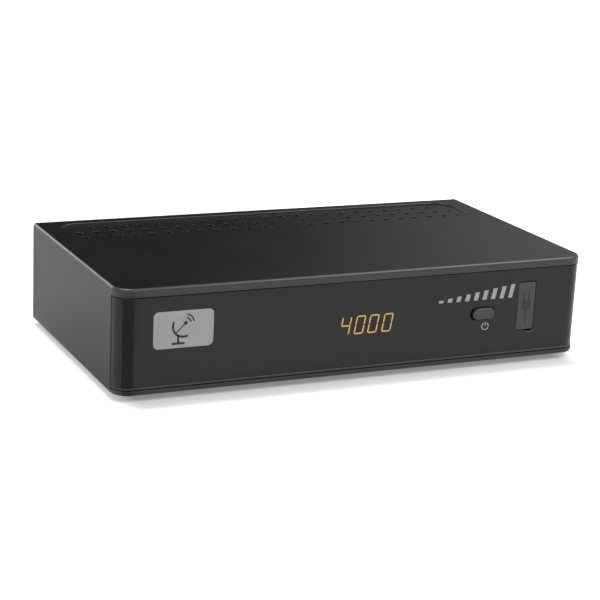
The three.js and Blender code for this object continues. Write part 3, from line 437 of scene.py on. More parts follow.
# Aluminium extrusion: pale grey with draw lines along the fins
aluminium = surfaceFinish("heatSink_extrudedAluminium",
    colour="#aeb1b5", paler="#c8cacc", roughness=0.38, uneven=0.1, metallic=1, stretch=(1, 0.05, 1), cloud=1.5,
    grain=0.3, height=0.01)

# Tin-plated sheet: bright grey with a spangle of crystals a few millimetres across
tinnedCan = surfaceFinish("tunerCan_tinPlate",
    colour="#a8a79f", paler="#c9c8c1", roughness=0.3, uneven=0.12, metallic=1, cloud=3.5, grain=1.2, height=0.006)

# Transfer-moulded epoxy: charcoal with a fine sandy face
chipEpoxy = surfaceFinish("chip_mouldedEpoxy",
    colour="#1a1a1b", paler="#252526", roughness=0.6, uneven=0.06, cloud=3, grain=0.2, height=0.015)

# Coloured plastic insert of the digital audio socket
orangeInsert = surfaceFinish("audioInsert_orangeMoulding",
    colour="#cf6a1e", paler="#d97628", roughness=0.42, uneven=0.05, cloud=3, grain=0.3, height=0.008)

# Diffusing epoxy of the display and the lamp: dark amber, glassy
displayEpoxy = surfaceFinish("display_castEpoxy",
    colour="#3c1a06", paler="#4a2108", roughness=0.2, uneven=0.04, cloud=4, grain=0.5, height=0.003)

# Silver screen-printing ink: pale grey, a little metallic, with the speckle of its flakes
silverInk = surfaceFinish("print_silverInk",
    colour="#a2a2a2", paler="#b4b4b4", roughness=0.5, uneven=0.08, metallic=0.2, cloud=1.2, grain=0.25, height=0.003)

# Black ink of the pictogram on the silver print
blackInk = surfaceFinish("print_blackInk",
    colour="#101011", paler="#151516", roughness=0.3, uneven=0.04, cloud=2, grain=0.3, height=0.002)

# Pad-printed white marks of the mains switch
whiteInk = surfaceFinish("print_whiteInk",
    colour="#d2d2d0", paler="#dededc", roughness=0.5, uneven=0.06, cloud=1.5, grain=0.3, height=0.003)


# Fibreglass board under green solder mask: paler tracks on a 2.5 mm grid, with tinned pads
def boardFinish(name, **looks):
    s = Settings(looks)
    material, shader, where = newMaterial(name, s)
    tracks = addNode(material, "TexBrick", {
        "Scale": 1 / (s.pitch * mm), "Color1": linear(s.colour), "Color2": linear(s.paler),
        "Mortar": linear(s.track), "Mortar Size": s.trackShare, "offset": 0.3, "squash": 1.6, "Vector": where})
    cells = addNode(material, "TexVoronoi", {"Scale": 1 / (s.padPitch * mm), "Randomness": 0.35, "Vector": where})
    pad = addNode(material, "Math", {"operation": "LESS_THAN", 0: cells["Distance"], 1: s.padShare})[0]
    colour = addNode(material, "Mix", {"data_type": "RGBA", 0: pad, 6: tracks["Color"], 7: linear(s.pad)})[2]
    bump = addNode(material, "Bump", {"Strength": 0.4, "Distance": s.height * mm, "Height": tracks["Fac"]})["Normal"]
    wire(material, shader, {"Base Color": colour, "Metallic": pad, "Normal": bump})
    return material


solderMask = boardFinish("board_greenSolderMask",
    colour="#16482a", paler="#184e2e", track="#2c7a48", pad="#b9b9b2", roughness=0.35, pitch=2.5, trackShare=0.06,
    padPitch=5, padShare=0.14, height=0.035)


# Shrink sleeve on a capacitor can: dark blue and glossy, its bare aluminium top crossed by the vent score
def sleeveFinish(name, **looks):
    s = Settings(looks)
    material, shader, where = newMaterial(name, s)
    rise = addNode(material, "SeparateXYZ", {0: where})["Z"]
    top = addNode(material, "Math", {"operation": "GREATER_THAN", 0: rise, 1: s.top * mm})[0]
    ripple = addNode(material, "TexNoise", {"Scale": 1 / (s.ripple * mm), "Vector": where})["Fac"]
    sleeve = addNode(material, "Mix", {"data_type": "RGBA", 0: ripple, 6: linear(s.colour), 7: linear(s.paler)})[2]
    colour = addNode(material, "Mix", {"data_type": "RGBA", 0: top, 6: sleeve, 7: linear(s.bare)})[2]
    bump = addNode(material, "Bump", {"Strength": 0.3, "Distance": s.height * mm, "Height": ripple})["Normal"]
    wire(material, shader, {"Base Color": colour, "Metallic": top, "Normal": bump})
    return material


capacitorSleeve = sleeveFinish("capacitor_shrinkSleeve",
    colour="#182440", paler="#1d2b4c", bare="#b6b8ba", roughness=0.3,
    top=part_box("filter_capacitor_1")[1].z / mm - 0.3, ripple=2, height=0.02)


# A lit segment behind the smoked acrylic: amber, and a brown glow round it
def glowFinish(name, **looks):
    s = Settings(looks)
    material, shader, where = newMaterial(name, s)
    uneven = addNode(material, "TexNoise", {"Scale": 1 / (s.cloud * mm), "Detail": 2, "Vector": where})["Fac"]
    colour = addNode(material, "Mix", {"data_type": "RGBA", 0: uneven, 6: linear(s.glow), 7: linear(s.paler)})[2]
    wire(material, shader, {"Emission Color": colour})
    shader.inputs["Emission Strength"].default_value = s.strength
    return material


litSegment = glowFinish("display_litSegment",
    colour="#0c0c0d", glow="#c99c48", paler="#dcbd78", roughness=0.12, strength=0.9, cloud=1.5)
segmentGlow = glowFinish("display_segmentGlow",
    colour="#0c0c0d", glow="#3a1c08", paler="#4a260c", roughness=0.12, specular=0.15, strength=0.8, cloud=2)

keptFinishes = {
    solderMask: ["front_board", "main_board"],
    chipEpoxy: ["processor_chip", "memory_chip_1", "memory_chip_2", "flash_chip", "power_inductor_1",
                "power_inductor_2"],
    aluminium: ["heat_sink"],
    tinnedCan: ["tuner_can"],
    nickelPlate: ["clock_crystal"],
    capacitorSleeve: ["filter_capacitor_" + str(i) for i in (1, 2, 3, 4)],
    displayEpoxy: ["led_display", "standby_led"],
    blackNylon: ["ir_receiver", "tact_switch"],
    whiteNylon: ["switch_plunger", "front_ribbon_connector", "main_ribbon_connector", "ribbon_cable"],
    zincSteel: ["board_screw_" + str(i) for i in (1, 2, 3, 4)]
    + ["front_board_screw_1", "front_board_screw_2", "usb_flap_pin"],
}
for material, names in keptFinishes.items():
    for name in names:
        nodes[name].data.materials.clear()
        nodes[name].data.materials.append(material)
print("stage: materials")


# Cover: one moulding with rounded front corners, a sunk field of vents at the back and an open front

cover = Settings(
    half=110, depth=118, height=45, wall=2, roofLow=42.6, frontCorner=7.5, backCorner=1.5, edge=1, topEdge=1.4,
    brokenEdge=0.25, wallEnd=0.19, openingLow=2.2, openingHigh=41.35, openingBack=7.53, run=1, fieldHalf=100.5,
    fieldFront=82, fieldBack=111.8, fieldFloor=44.2, fieldCorner=9, fieldEdge=0.45, ventRadius=1.4, ventFlare=0.1,
    ventPitchX=7.88, ventPitchY=8.6, ventColumns=25, ventRows=3, postRadius=3.5, postLow=6.4, postBore=1.6,
    postBoreDepth=10, postX=101, postY=(20, 100), ribThick=1.6, postEdge=0.3)


def makeCover(s):
    half, depth, height, wall, run = s.half, s.depth, s.height, s.wall, s.run
    shell = block("coverShell", (-half, 0, 0), (half, depth, height))
    roundEdges(shell, s.frontCorner, 16, along(2), level(1, 0))
    roundEdges(shell, s.backCorner, 5, along(2), level(1, depth))
    roundEdges(shell, s.edge, 5, level(2, 0))
    roundEdges(shell, s.topEdge, 7, level(2, height))
    hollow = block("hollow", (wall - half, wall, -run), (half - wall, depth + run, s.roofLow))
    roundEdges(hollow, s.frontCorner - wall, 16, along(2), level(1, wall))
    opening = block("opening", (-half - run, -run, s.openingLow), (half + run, s.openingBack, s.openingHigh))
    breakEdges(cut(shell, hollow), s.brokenEdge)
    cut(shell, opening)
    roundEdges(shell, s.brokenEdge, 2, along(0), level(1, 0), level(2, s.openingLow, s.openingHigh))
    cut(shell, makeWallEndCutter(s, -1), makeWallEndCutter(s, 1))
    cut(shell, roundBlock("field", (-s.fieldHalf, s.fieldFront, s.fieldFloor),
                          (s.fieldHalf, s.fieldBack, height + run), 2, s.fieldCorner, 14))
    roundEdges(shell, s.fieldEdge, 4, level(2, height), lambda edge: all(
        abs(vert.co.x / mm) < s.fieldHalf + sameLevel
        and s.fieldFront - sameLevel < vert.co.y / mm - caseFront < s.fieldBack + sameLevel for vert in edge.verts))
    cut(shell, makeVentCutters(s))
    for x in (-s.postX, s.postX):
        for y in s.postY:
            post = barrel("post", s.postRadius, (x, y, s.postLow), (x, y, s.roofLow + run), 32)
            roundEdges(post, s.postEdge, 2, level(2, s.postLow))
            ends = sorted((x, math.copysign(half - wall / 2, x)))
            rib = block("rib", (ends[0], y - s.ribThick / 2, s.postLow), (ends[1], y + s.ribThick / 2, s.roofLow + run))
            unite(shell, unite(post, rib))
            cut(shell, barrel("bore", s.postBore, (x, y, s.postLow - run), (x, y, s.postLow + s.postBoreDepth), 24))
    return finishPiece(shell, "coverShell", caseAbs, "case_abs", replaces=["top_cover"])


# What rounds a side wall's upright edge, where the wall stands proud of the panel's end
def makeWallEndCutter(s, side):
    radius, run, low, high, back = s.wallEnd, s.run, s.openingLow, s.openingHigh, s.openingBack + s.wallEnd
    inner = side * (s.half - radius)
    ends = sorted((inner, side * (s.half + run)))
    cutter = block("wallEnd", (ends[0], s.openingBack - run, low), (ends[1], back, high))
    return cut(cutter, barrel("wallRound", radius, (inner, back, low - run), (inner, back, high + run), 32))


# One flared hole, copied over the grid; the back row stops short of the field's rounded corners
def makeVentCutters(s):
    middle = (s.fieldFront + s.fieldBack) / 2
    low, top, wide = s.roofLow - s.run, s.fieldFloor, s.ventRadius + s.ventFlare
    columns, rows = s.ventColumns, s.ventRows
    hole = turned("vent", [(s.ventRadius, 0), (s.ventRadius, top - s.ventFlare - low),
                           (wide, top - low), (wide, top + s.run - low)], 20)
    spots = [((column - (columns - 1) / 2) * s.ventPitchX, middle + (row - (rows - 1) / 2) * s.ventPitchY, low)
             for row in range(rows) for column in range(columns)
             if row < rows - 1 or 0 < column < columns - 1]
    holes = [setAt(copyOf(hole, "vent"), spot) for spot in spots]
    discard(hole)
    return join("vents", holes)


makeCover(cover)
print("stage: cover")


# Front panel: a smoked wrap between the cover's lips, with the button's slot and the door's opening

panel = Settings(
    half=109.8, front=0.4, thick=2.4, low=2.4, high=41.1, outerCorner=7.1, innerCorner=4.7, edge=0.5, end=7.52,
    nick=0.8, brokenEdge=0.12, run=1, trimProud=0.18, trimDeep=0.5, trimLow=2.5, trimHigh=3.35, trimRound=0.17,
    slot=(59.15, 22.1), slotSize=(12.7, 6.1), doorX=81.07, doorZ=24, doorHalf=4.55, doorLow=12.9, doorHigh=35.15,
    bezelHalf=(6.05, 12.6), bezelBack=5.4, bezelFloor=3.4, socketHalf=(3.2, 6.85), notch=(83.52, 2.1, 1.3, 1.7),
    rimHole=(-0.35, 0.1, 1.95, 0.75), rimDeep=(-0.03, 0.9), pinSeat=(1.7, 33.65, 0.7, 6.35), tabs=(-70, 0, 70),
    tabHalf=6, tabLow=36, tabHigh=42.4, tabFront=2.2, tabBack=4.5, posts=((-19.9, 33), (70.235, 13)), postRadius=2.5,
    postBore=1.3, postEnd=8.2, boreStart=3.8, pocket=(2.42, 22, 15.4, 7.4, 1.4), slotBack=4, far=20, farther=30,
    tabEdge=0.4, doorCorner=0.3, rimWider=0.1, rimTop=(3, 0.15), rimEdge=0.12, overlap=0.2)


def makePanel(s):
    half, front, low, high, run = s.half, s.front, s.low, s.high, s.run
    back, far = front + s.thick, s.far
    wrap = block("panelWrap", (-half, front, low), (half, far, high))
    roundEdges(wrap, s.outerCorner, 20, along(2), level(1, front))
    roundEdges(wrap, s.edge, 5, level(2, low, high), without(level(1, far)))
    inside = half - s.thick
    hollow = block("hollow", (-inside, back, low - run), (inside, s.farther, high + run))
    roundEdges(hollow, s.innerCorner, 20, along(2), level(1, back))
    breakEdges(cut(wrap, hollow), s.brokenEdge)
    cut(wrap, block("rest", (-half - run, s.end, low - run), (half + run, s.farther + run, high + run)))
    for start, end in ((low - run, low + s.nick), (high - s.nick, high + run)):
        cut(wrap, block("nick", (-half - run, s.end - s.nick, start), (half + run, s.end + run, end)))
    for x in s.tabs:
        tab = block("tab", (x - s.tabHalf, s.tabFront, s.tabLow), (x + s.tabHalf, s.tabBack, s.tabHigh))
        unite(wrap, roundEdges(tab, s.tabEdge, 2, along(0), level(1, s.tabBack)))
    for x, z in s.posts:
        unite(wrap, barrel("post", s.postRadius, (x, back - run, z), (x, s.postEnd, z), 32))
        cut(wrap, barrel("bore", s.postBore, (x, s.boreStart, z), (x, s.postEnd + run, z), 24))
    unite(wrap, slab("bezel", (s.doorX, s.doorZ), s.bezelHalf, (back - run, s.bezelBack)))
    pocketX, pocketZ, halfX, halfZ, pocketFront = s.pocket
    cut(wrap, *makeDoorCutters(s), makeSlotCutter(s),
        slab("pocket", (pocketX, pocketZ), (halfX, halfZ), (pocketFront, s.slotBack)))
    return finishPiece(wrap, "panelWrap", panelAcrylic, "panel_acrylic", replaces=["front_panel"])


def makeSlotCutter(s):
    length, tall = s.slotSize
    cutter = slab("slot", s.slot, (length / 2, tall / 2), (-s.run, s.slotBack))
    return roundEdges(cutter, tall / 2 - shy, 12, along(1))


# A thin bead along the panel's foot, let into its face, in the lighter satin grey of the button: a painted highlight
# for the light line along that edge
def makeHighlightBead(s):
    half, front, deep, low, high = s.half + s.trimProud, s.front - s.trimProud, s.trimDeep, s.trimLow, s.trimHigh
    run, twice = s.run, 2 * s.run
    bead = block("panelHighlightBead", (-half, front, low), (half, s.far, high))
    roundEdges(bead, s.outerCorner + s.trimProud, 20, along(2), level(1, front))
    roundEdges(bead, s.trimRound, 4, without(along(2)), without(level(1, s.far)))
    inside, back = s.half - deep, s.front + deep
    core = block("core", (-inside, back, low - run), (inside, s.far + run, high + run))
    roundEdges(core, s.outerCorner - deep, 20, along(2), level(1, back))
    rest = block("rest", (-s.half - twice, s.end - s.nick, low - twice), (s.half + twice, s.far + twice, high + twice))
    return finishPiece(cut(bead, core, rest), "panelHighlightBead", buttonAbs, "panel_acrylic")


# A thin rim on the lower edge of the finger notch under the door, in the lighter satin grey of the button: a painted
# highlight for the light crescent there
def makeNotchHighlight(s):
    x, halfWide, halfTall = s.notch[:3]
    low, run = s.doorLow, s.run
    rim = oval("notchHighlightRim", (x, low), (halfWide + s.rimWider, halfTall + s.rimWider), s.rimDeep)
    right, up, holeWide, holeTall = s.rimHole
    hole = oval("hole", (x + right, low + up), (holeWide, holeTall), (-run, run))
    reach, drop = s.rimTop
    top = block("top", (x - reach, -run, low - drop), (x + reach, run, low + reach))
    breakEdges(cut(rim, hole, top), s.rimEdge)
    return finishPiece(rim, "notchHighlightRim", buttonAbs, "panel_acrylic")


def makeDoorCutters(s):
    x, z, run, back = s.doorX, s.doorZ, s.run, s.bezelBack + s.run
    door = roundBlock("door", (x - s.doorHalf, -run, s.doorLow), (x + s.doorHalf, s.bezelFloor, s.doorHigh),
                      1, s.doorCorner, 3)
    notchX, halfWide, halfTall, notchBack = s.notch
    notch = oval("notch", (notchX, s.doorLow), (halfWide, halfTall), (-run, notchBack))
    socket = slab("socket", (x, z), s.socketHalf, (s.bezelFloor - s.overlap, back))
    pinY, pinZ, radius, pinHalf = s.pinSeat
    seat = barrel("seat", radius, (x - pinHalf, pinY, pinZ), (x + pinHalf, pinY, pinZ), 24)
    way = slab("way", (x, pinZ), (pinHalf, radius), (pinY, back))
    return door, notch, socket, seat, way


makePanel(panel)
makeHighlightBead(panel)
makeNotchHighlight(panel)
print("stage: front panel")


# Power button: a stadium cap that stands proud of the panel, with a brim behind it

button = Settings(
    middle=(59.4, 22), length=10.9, tall=5.2, front=-0.6, back=3.9, edge=0.55, brim=(7.25, 3.9), brimFront=3.0)


def makeButton(s):
    cap = slab("buttonCap", s.middle, (s.length / 2, s.tall / 2), (s.front, s.back))
    roundEdges(cap, s.tall / 2 - shy, 14, along(1))
    roundEdges(cap, s.edge, 5, level(1, s.front))
    brim = slab("brim", s.middle, s.brim, (s.brimFront, s.back))
    unite(cap, roundEdges(brim, s.brim[1] - shy, 12, along(1)))
    return finishPiece(cap, "buttonCap", buttonAbs, "button_abs", "button", ["power_button"])


makeButton(button)


# USB door: a thin plate with a round knuckle on its top edge, and a plug sign inlaid in its face

door = Settings(
    x=81.07, half=4.3, low=13.15, high=34.85, front=0.4, back=2.4, topRound=1, knuckle=1.3, hinge=(1.7, 33.65),
    bore=0.7, edge=0.2, groove=0.25, line=0.6, plugLow=22.2, plugHigh=26, plugHalf=2.2, plugRound=1.5, cordLow=15.8,
    prongHigh=29.6, prongSpread=1.2, gap=0.03, inkSunk=0.1, overlap=0.2)


# The sign's solids, wider by the clearance where they cut the groove
def makePlug(s, front, back, grow):
    x, line, half, low, high = s.x, s.line / 2 + grow, s.plugHalf, s.plugLow, s.plugHigh
    body = block("plug", (x - half - grow, front, low - grow), (x + half + grow, back, high + grow))
    roundEdges(body, s.plugRound, 6, along(1), level(2, low - grow))
    unite(body, block("cord", (x - line, front, s.cordLow - grow), (x + line, back, low + s.overlap)))
    for prong in (x - s.prongSpread, x + s.prongSpread):
        unite(body, block("prong", (prong - line, front, high - s.overlap), (prong + line, back, s.prongHigh + grow)))
    return body


def makeDoor(s):
    x, half, (hingeY, hingeZ) = s.x, s.half, s.hinge
    plate = block("usbDoor", (x - half, s.front, s.low), (x + half, s.back, s.high))
    roundEdges(plate, s.topRound, 8, along(0), level(2, s.high), level(1, s.front))
    unite(plate, barrel("knuckle", s.knuckle, (x - half, hingeY, hingeZ), (x + half, hingeY, hingeZ), 48))
    breakEdges(plate, s.edge, 3)
    bore = barrel("bore", s.bore, (x - half - 1, hingeY, hingeZ), (x + half + 1, hingeY, hingeZ), 24)
    bottom = s.front + s.groove
    cut(plate, bore, makePlug(s, s.front - 1, bottom, s.gap))
    finishPiece(plate, "usbDoor", buttonAbs, "button_abs", "door", ["usb_flap"])
    ink = makePlug(s, s.front + s.inkSunk, bottom + s.gap, 0)
    finishPiece(ink, "usbDoorPlugSign", blackInk, "button_abs", "door")


makeDoor(door)
print("stage: button and door")


# The number that shows through the smoked panel: slanted bars, with a brown glow round each

digits = Settings(
    text="4000", centres=(-7.8, -1.1, 5.3, 12.05), middle=21.9, width=3.9, tall=7.58, stroke=0.62, gap=0.12,
    slant=9.5, face=0.4, sunk=0.05, proud=0.03, glowWider=0.75, glowProud=0.015)
segmentsOf = {"0": "abcdef", "4": "bcfg"}


def makeBar(s, length, width, proud):
    bar = block("bar", (-length / 2, -proud, -width / 2), (length / 2, s.sunk, width / 2))
    return roundEdges(bar, width / 2 - shy, 1, along(1))


def makeDigit(number, centre, s, width, proud):
    halfX, halfZ = s.width / 2, s.tall / 2
    longer = width - s.stroke - s.gap
    flat = makeBar(s, s.width + longer, width, proud)
    upright = turnAbout(makeBar(s, halfZ + longer, width, proud), 90, "Y", (0, 0, 0))
    spots = {"a": (flat, 0, halfZ), "g": (flat, 0, 0), "d": (flat, 0, -halfZ),
             "f": (upright, -halfX, halfZ / 2), "b": (upright, halfX, halfZ / 2),
             "e": (upright, -halfX, -halfZ / 2), "c": (upright, halfX, -halfZ / 2)}
    bars = [copyOf(bar, "bar", (x, 0, z)) for bar, x, z in (spots[key] for key in segmentsOf[number])]
    discard(flat, upright)
    made = lean(join("digit", bars), s.slant, 0)
    made.data.transform(Matrix.Translation(Vector((centre, s.face, s.middle)) * mm))
    return made


def makeDigits(s):
    layers = (("numberGlow", segmentGlow, s.stroke + s.glowWider, s.glowProud),
              ("number", litSegment, s.stroke, s.proud))
    for name, material, width, proud in layers:
        made = [makeDigit(number, s.centres[i], s, width, proud) for i, number in enumerate(s.text)]
        finishPiece(join(name, made), name, material, "display_epoxy", angle=20)


makeDigits(digits)


# Silver prints: a plain plate with a dish pictogram, rising signal bars and the standby sign

prints = Settings(
    face=0.4, sunk=0.05, proud=0.03, inkProud=0.045, plate=(-94.3, 18.9, -68.2, 34.6, 2.2), dish=(-81.9, 26.9),
    dishRadius=4.6, dishStroke=0.95, waves=(2.2, 3.6), waveStroke=0.65, waveAngles=(8, 82), bowl=(0.6, 1.2),
    bowlAngles=(155, 295), stem=(-2.1, -5.9, -2.6), foot=(-4.4, 1.2, -6.6), arm=(-3.45, 0.1, 2.25, 0.6),
    armMiddle=(-0.6, 0.35), armTurn=-45, horn=(1.5, 2.4, 0.8), bars=9, barLeft=36.6, barPitch=4.35, barWidth=2.1,
    barLow=28.3, barFirst=1.2, barLast=6.1, barSlant=12, standby=(60.8, 16.2), standbyRadius=1.62,
    standbyStroke=0.46, standbyAngles=(125, 415), standbyBar=(0.2, 2.1))


def printed(name, s, low, high, proud=None):
    front = s.face - (proud or s.proud)
    return block(name, (low[0], front, low[1]), (high[0], s.face + s.sunk, high[1]))


def makePlate(s):
    left, low, right, high, corner = s.plate
    plate = roundEdges(printed("plate", s, (left, low), (right, high)), corner, 8, along(1))
    finishPiece(plate, "silverPlatePrint", silverInk, "panel_acrylic")


def makeDish(s):
    (x, z), ink, stroke, proud = s.dish, (s.face - s.inkProud, s.face + s.sunk), s.dishStroke, s.inkProud
    stemLeft, stemLow, stemHigh = s.stem
    footLeft, footRight, footLow = s.foot
    armLeft, armLow, armRight, armHigh = s.arm
    hornX, hornZ = x + s.horn[0], z + s.horn[1]
    bowl = arcMark("bowl", (x + s.bowl[0], z + s.bowl[1]), s.dishRadius, stroke, s.bowlAngles, ink)
    stem = printed("stem", s, (x + stemLeft, z + stemLow), (x + stemLeft + stroke, z + stemHigh), proud)
    foot = printed("foot", s, (x + footLeft, z + footLow), (x + footRight, z + footLow + stroke), proud)
    arm = printed("arm", s, (x + armLeft, z + armLow), (x + armRight, z + armHigh), proud)
    turnAbout(arm, s.armTurn, "Y", (x + s.armMiddle[0], 0, z + s.armMiddle[1]))
    head = barrel("head", s.horn[2], (hornX, ink[0], hornZ), (hornX, ink[1], hornZ), 24)
    waves = [arcMark("wave", (hornX, hornZ), radius, s.waveStroke, s.waveAngles, ink) for radius in s.waves]
    marks = join("dishPictogram", [bowl, stem, foot, head, arm] + waves)
    finishPiece(marks, "dishPictogram", blackInk, "panel_acrylic")


def makeSignalBars(s):
    bars = []
    for index in range(s.bars):
        start = s.barLeft + index * s.barPitch
        tall = s.barFirst + (s.barLast - s.barFirst) * index / (s.bars - 1)
        bars.append(printed("bar", s, (start, s.barLow), (start + s.barWidth, s.barLow + tall)))
    signal = lean(join("signalBars", bars), s.barSlant, s.barLow)
    finishPiece(signal, "signalBarsPrint", silverInk, "panel_acrylic")


def makeStandbySign(s):
    (x, z), half, (low, high) = s.standby, s.standbyStroke / 2, s.standbyBar
    face = (s.face - s.proud, s.face + s.sunk)
    ring = arcMark("ring", (x, z), s.standbyRadius, s.standbyStroke, s.standbyAngles, face)
    bar = printed("bar", s, (x - half, z + low), (x + half, z + high))
    finishPiece(join("standbySign", [ring, bar]), "standbySign", silverInk, "panel_acrylic")


for makePrint in (makePlate, makeDish, makeSignalBars, makeStandbySign):
    makePrint(prints)
print("stage: number and prints")


# Where the four case screws sit, in the tray's cups and under the cover's posts
screwSpots = ((-101, 20), (101, 20), (-101, 100), (101, 100))

# Base tray: floor with cooling slots, a fence behind the panel, screw cups, standoffs and two rear posts

tray = Settings(
    half=107.8, front=2.2, back=117.6, low=0.3, top=2.3, corner=5.3, fenceHalf=95, fence=(3.0, 4.5, 7.5),
    rearPostX=98.5, rearPost=(3.5, 108.4, 115.8, 14), rearBore=(1.6, 9.5, 109.4), cupRadius=5, cupTop=6.2,
    recess=3.4, recessTop=3.8, cupHole=1.8, standoffs=((-88, 22), (88, 22), (-88, 70), (88, 70)),
    standoffRadius=3.2, standoffTop=6.3, standoffBore=1.55, boreLow=2.0, slotWidth=2.4, slotLength=20,
    slotPitch=10, slots=15, slotRows=(42, 70), run=1, brokenEdge=0.2)


def makeTray(s):
    low, top, run, inside = s.low, s.top, s.run, s.low + 1
    floor = block("trayShell", (-s.half, s.front, low), (s.half, s.back, top))
    roundEdges(floor, s.corner, 12, along(2), level(1, s.front))
    roundEdges(floor, s.brokenEdge, 2, level(2, low, top))
    halfWide, postFront, postBack, postTop = s.rearPost
    fenceFront, fenceBack, fenceTop = s.fence
    for start, end, front, back, height in (
            (-s.fenceHalf, s.fenceHalf, fenceFront, fenceBack, fenceTop),
            *((x - halfWide, x + halfWide, postFront, postBack, postTop) for x in (-s.rearPostX, s.rearPostX))):
        wall = block("wall", (start, front, inside), (end, back, height))
        unite(floor, roundEdges(wall, s.brokenEdge, 2, level(2, height)))
    for x, y in screwSpots:
        unite(floor, barrel("cup", s.cupRadius, (x, y, inside), (x, y, s.cupTop), 40))
    for x, y in s.standoffs:
        unite(floor, barrel("standoff", s.standoffRadius, (x, y, inside), (x, y, s.standoffTop), 32))
    radius, z, boreFront = s.rearBore
    for x in (-s.rearPostX, s.rearPostX):
        cut(floor, barrel("bore", radius, (x, boreFront, z), (x, postBack + run, z), 24))
    for x, y in screwSpots:
        cut(floor, barrel("recess", s.recess, (x, y, low - run), (x, y, s.recessTop), 40),
            barrel("hole", s.cupHole, (x, y, low), (x, y, s.cupTop + run), 24))
    for x, y in s.standoffs:
        cut(floor, barrel("bore", s.standoffBore, (x, y, s.boreLow), (x, y, s.standoffTop + run), 24))
    half, start = s.slotWidth / 2, s.slotRows[0]
    slot = roundBlock("slot", (-half, start, low - run), (half, start + s.slotLength, top + run), 2, half - shy, 6)
    cut(floor, spread(slot, [((column - (s.slots - 1) / 2) * s.slotPitch, row - start, 0)
                             for row in s.slotRows for column in range(s.slots)]))
    return finishPiece(floor, "trayShell", caseAbs, "case_abs", replaces=["base_tray"])


makeTray(tray)
print("stage: base tray")


# Feet: moulded rubber pads with a rounded rim and a shallow dish below

foot = Settings(
    low=-2.5, places=((-90, 18), (90, 18), (-90, 100), (90, 100)),
    profile=((3.2, 0.4), (3.6, 0.1), (3.75, 0), (5.4, 0), (5.82, 0.18), (6, 0.6), (6, 2.7)))


def makeFeet(s):
    pad = turned("foot", s.profile)
    for index, (x, y) in enumerate(s.places, 1):
        made = setAt(copyOf(pad, "foot"), (x, y, s.low))
        finishPiece(made, "footPad" + str(index), rubberFoot, "rubber", replaces=["foot_" + str(index)])
    discard(pad)


makeFeet(foot)


# Screws: a domed head with a cross recess, a shank and a turned tip

screw = Settings(
    crossHalf=(1.75, 0.425), crossDeep=0.9, head=2.8, pitch=0.9, root=-0.28, tip=((0.25, 0), (1.12, 1.1), (1.4, 1.6)),
    groove=(0.3, 0.5, 0.75), plain=0.6, dome=((1, 0.3), (0.93, 0.62), (0.74, 0.88), (0.42, 1)),
    case=Settings(head=1.9, shank=1.4, length=9, z=3.7),
    rear=Settings(head=1.8, shank=1.4, length=6.5, y=117.3, z=9.5, x=(-98.5, 98.5)))


# Drawn with its seat at the origin, its head up +Z and its shank down
def makeScrew(s, size):
    shank, root, length, tall, threadEnd = size.shank, size.shank + s.root, size.length, size.head, s.tip[-1][1]
    profile = [(radius, rise - length) for radius, rise in s.tip]
    for index in range(int((length - threadEnd - s.plain) / s.pitch)):
        low = threadEnd - length + index * s.pitch
        start, deep, shallow = s.groove
        profile += [(shank, low + start), (root, low + deep), (root, low + shallow), (shank, low + s.pitch)]
    profile += [(shank, 0), (s.head, 0)]
    profile += [(s.head * wide, tall * rise) for wide, rise in s.dome]
    made = turned("screw", profile, 40)
    halfLong, halfWide = s.crossHalf
    for turn in (0, 90):
        arm = block("cross", (-halfLong, -halfWide - caseFront, tall - s.crossDeep - caseUnder),
                    (halfLong, halfWide - caseFront, tall + 1 - caseUnder))
        arm.data.transform(Matrix.Rotation(math.radians(turn), 4, "Z"))
        cut(made, arm)
    return made


def makeScrews(s):
    case, rear = s.case, s.rear
    for size, facing, label, node, spots in (
            (case, "down", "caseScrew", "case_screw_", [(x, y, case.z) for x, y in screwSpots]),
            (rear, "back", "rearScrew", "rear_panel_screw_", [(x, rear.y, rear.z) for x in rear.x])):
        master = makeScrew(s, size)
        for index, spot in enumerate(spots, 1):
            made = setAt(copyOf(master, "screw"), spot, facing)
            finishPiece(made, label + str(index), zincSteel, "steel", replaces=[node + str(index)], angle=35)
        discard(master)


makeScrews(screw)
print("stage: feet and screws")


# Rear panel: punched and coated sheet steel, its holes a little larger than the sockets in them

rearPanel = Settings(
    half=107.8, inner=116, outer=117.2, low=2.5, high=42.4, corner=0.8, windowCorner=0.5, gap=0.4, run=1,
    screwX=98.5, screwZ=9.5, screwHole=1.75, ventWidth=1.8, vents=22, ventPitch=5, ventLow=30.4, ventHigh=38.4,
    brokenEdge=0.15)

# Places and outer sizes of what stands in the rear panel's openings
ports = Settings(
    powerSwitch=Settings(x=-78.65, half=9.6, low=8.1, high=21.1, z=14.6),
    dc=Settings(x=-58.8, z=13.6, nose=4),
    service=Settings(x=-45.45, z=12.1, nose=3.2),
    coax=Settings(x=-31.6, z=14.1, nose=4.15),
    flat=Settings(x=-14.15, half=7.6, low=8.1, high=14.5),
    av=Settings(x=22.3, half=24, low=8.1, high=23.7),
    lnb=Settings(x=(60.65, 79.65), z=15.1, nose=4.7))


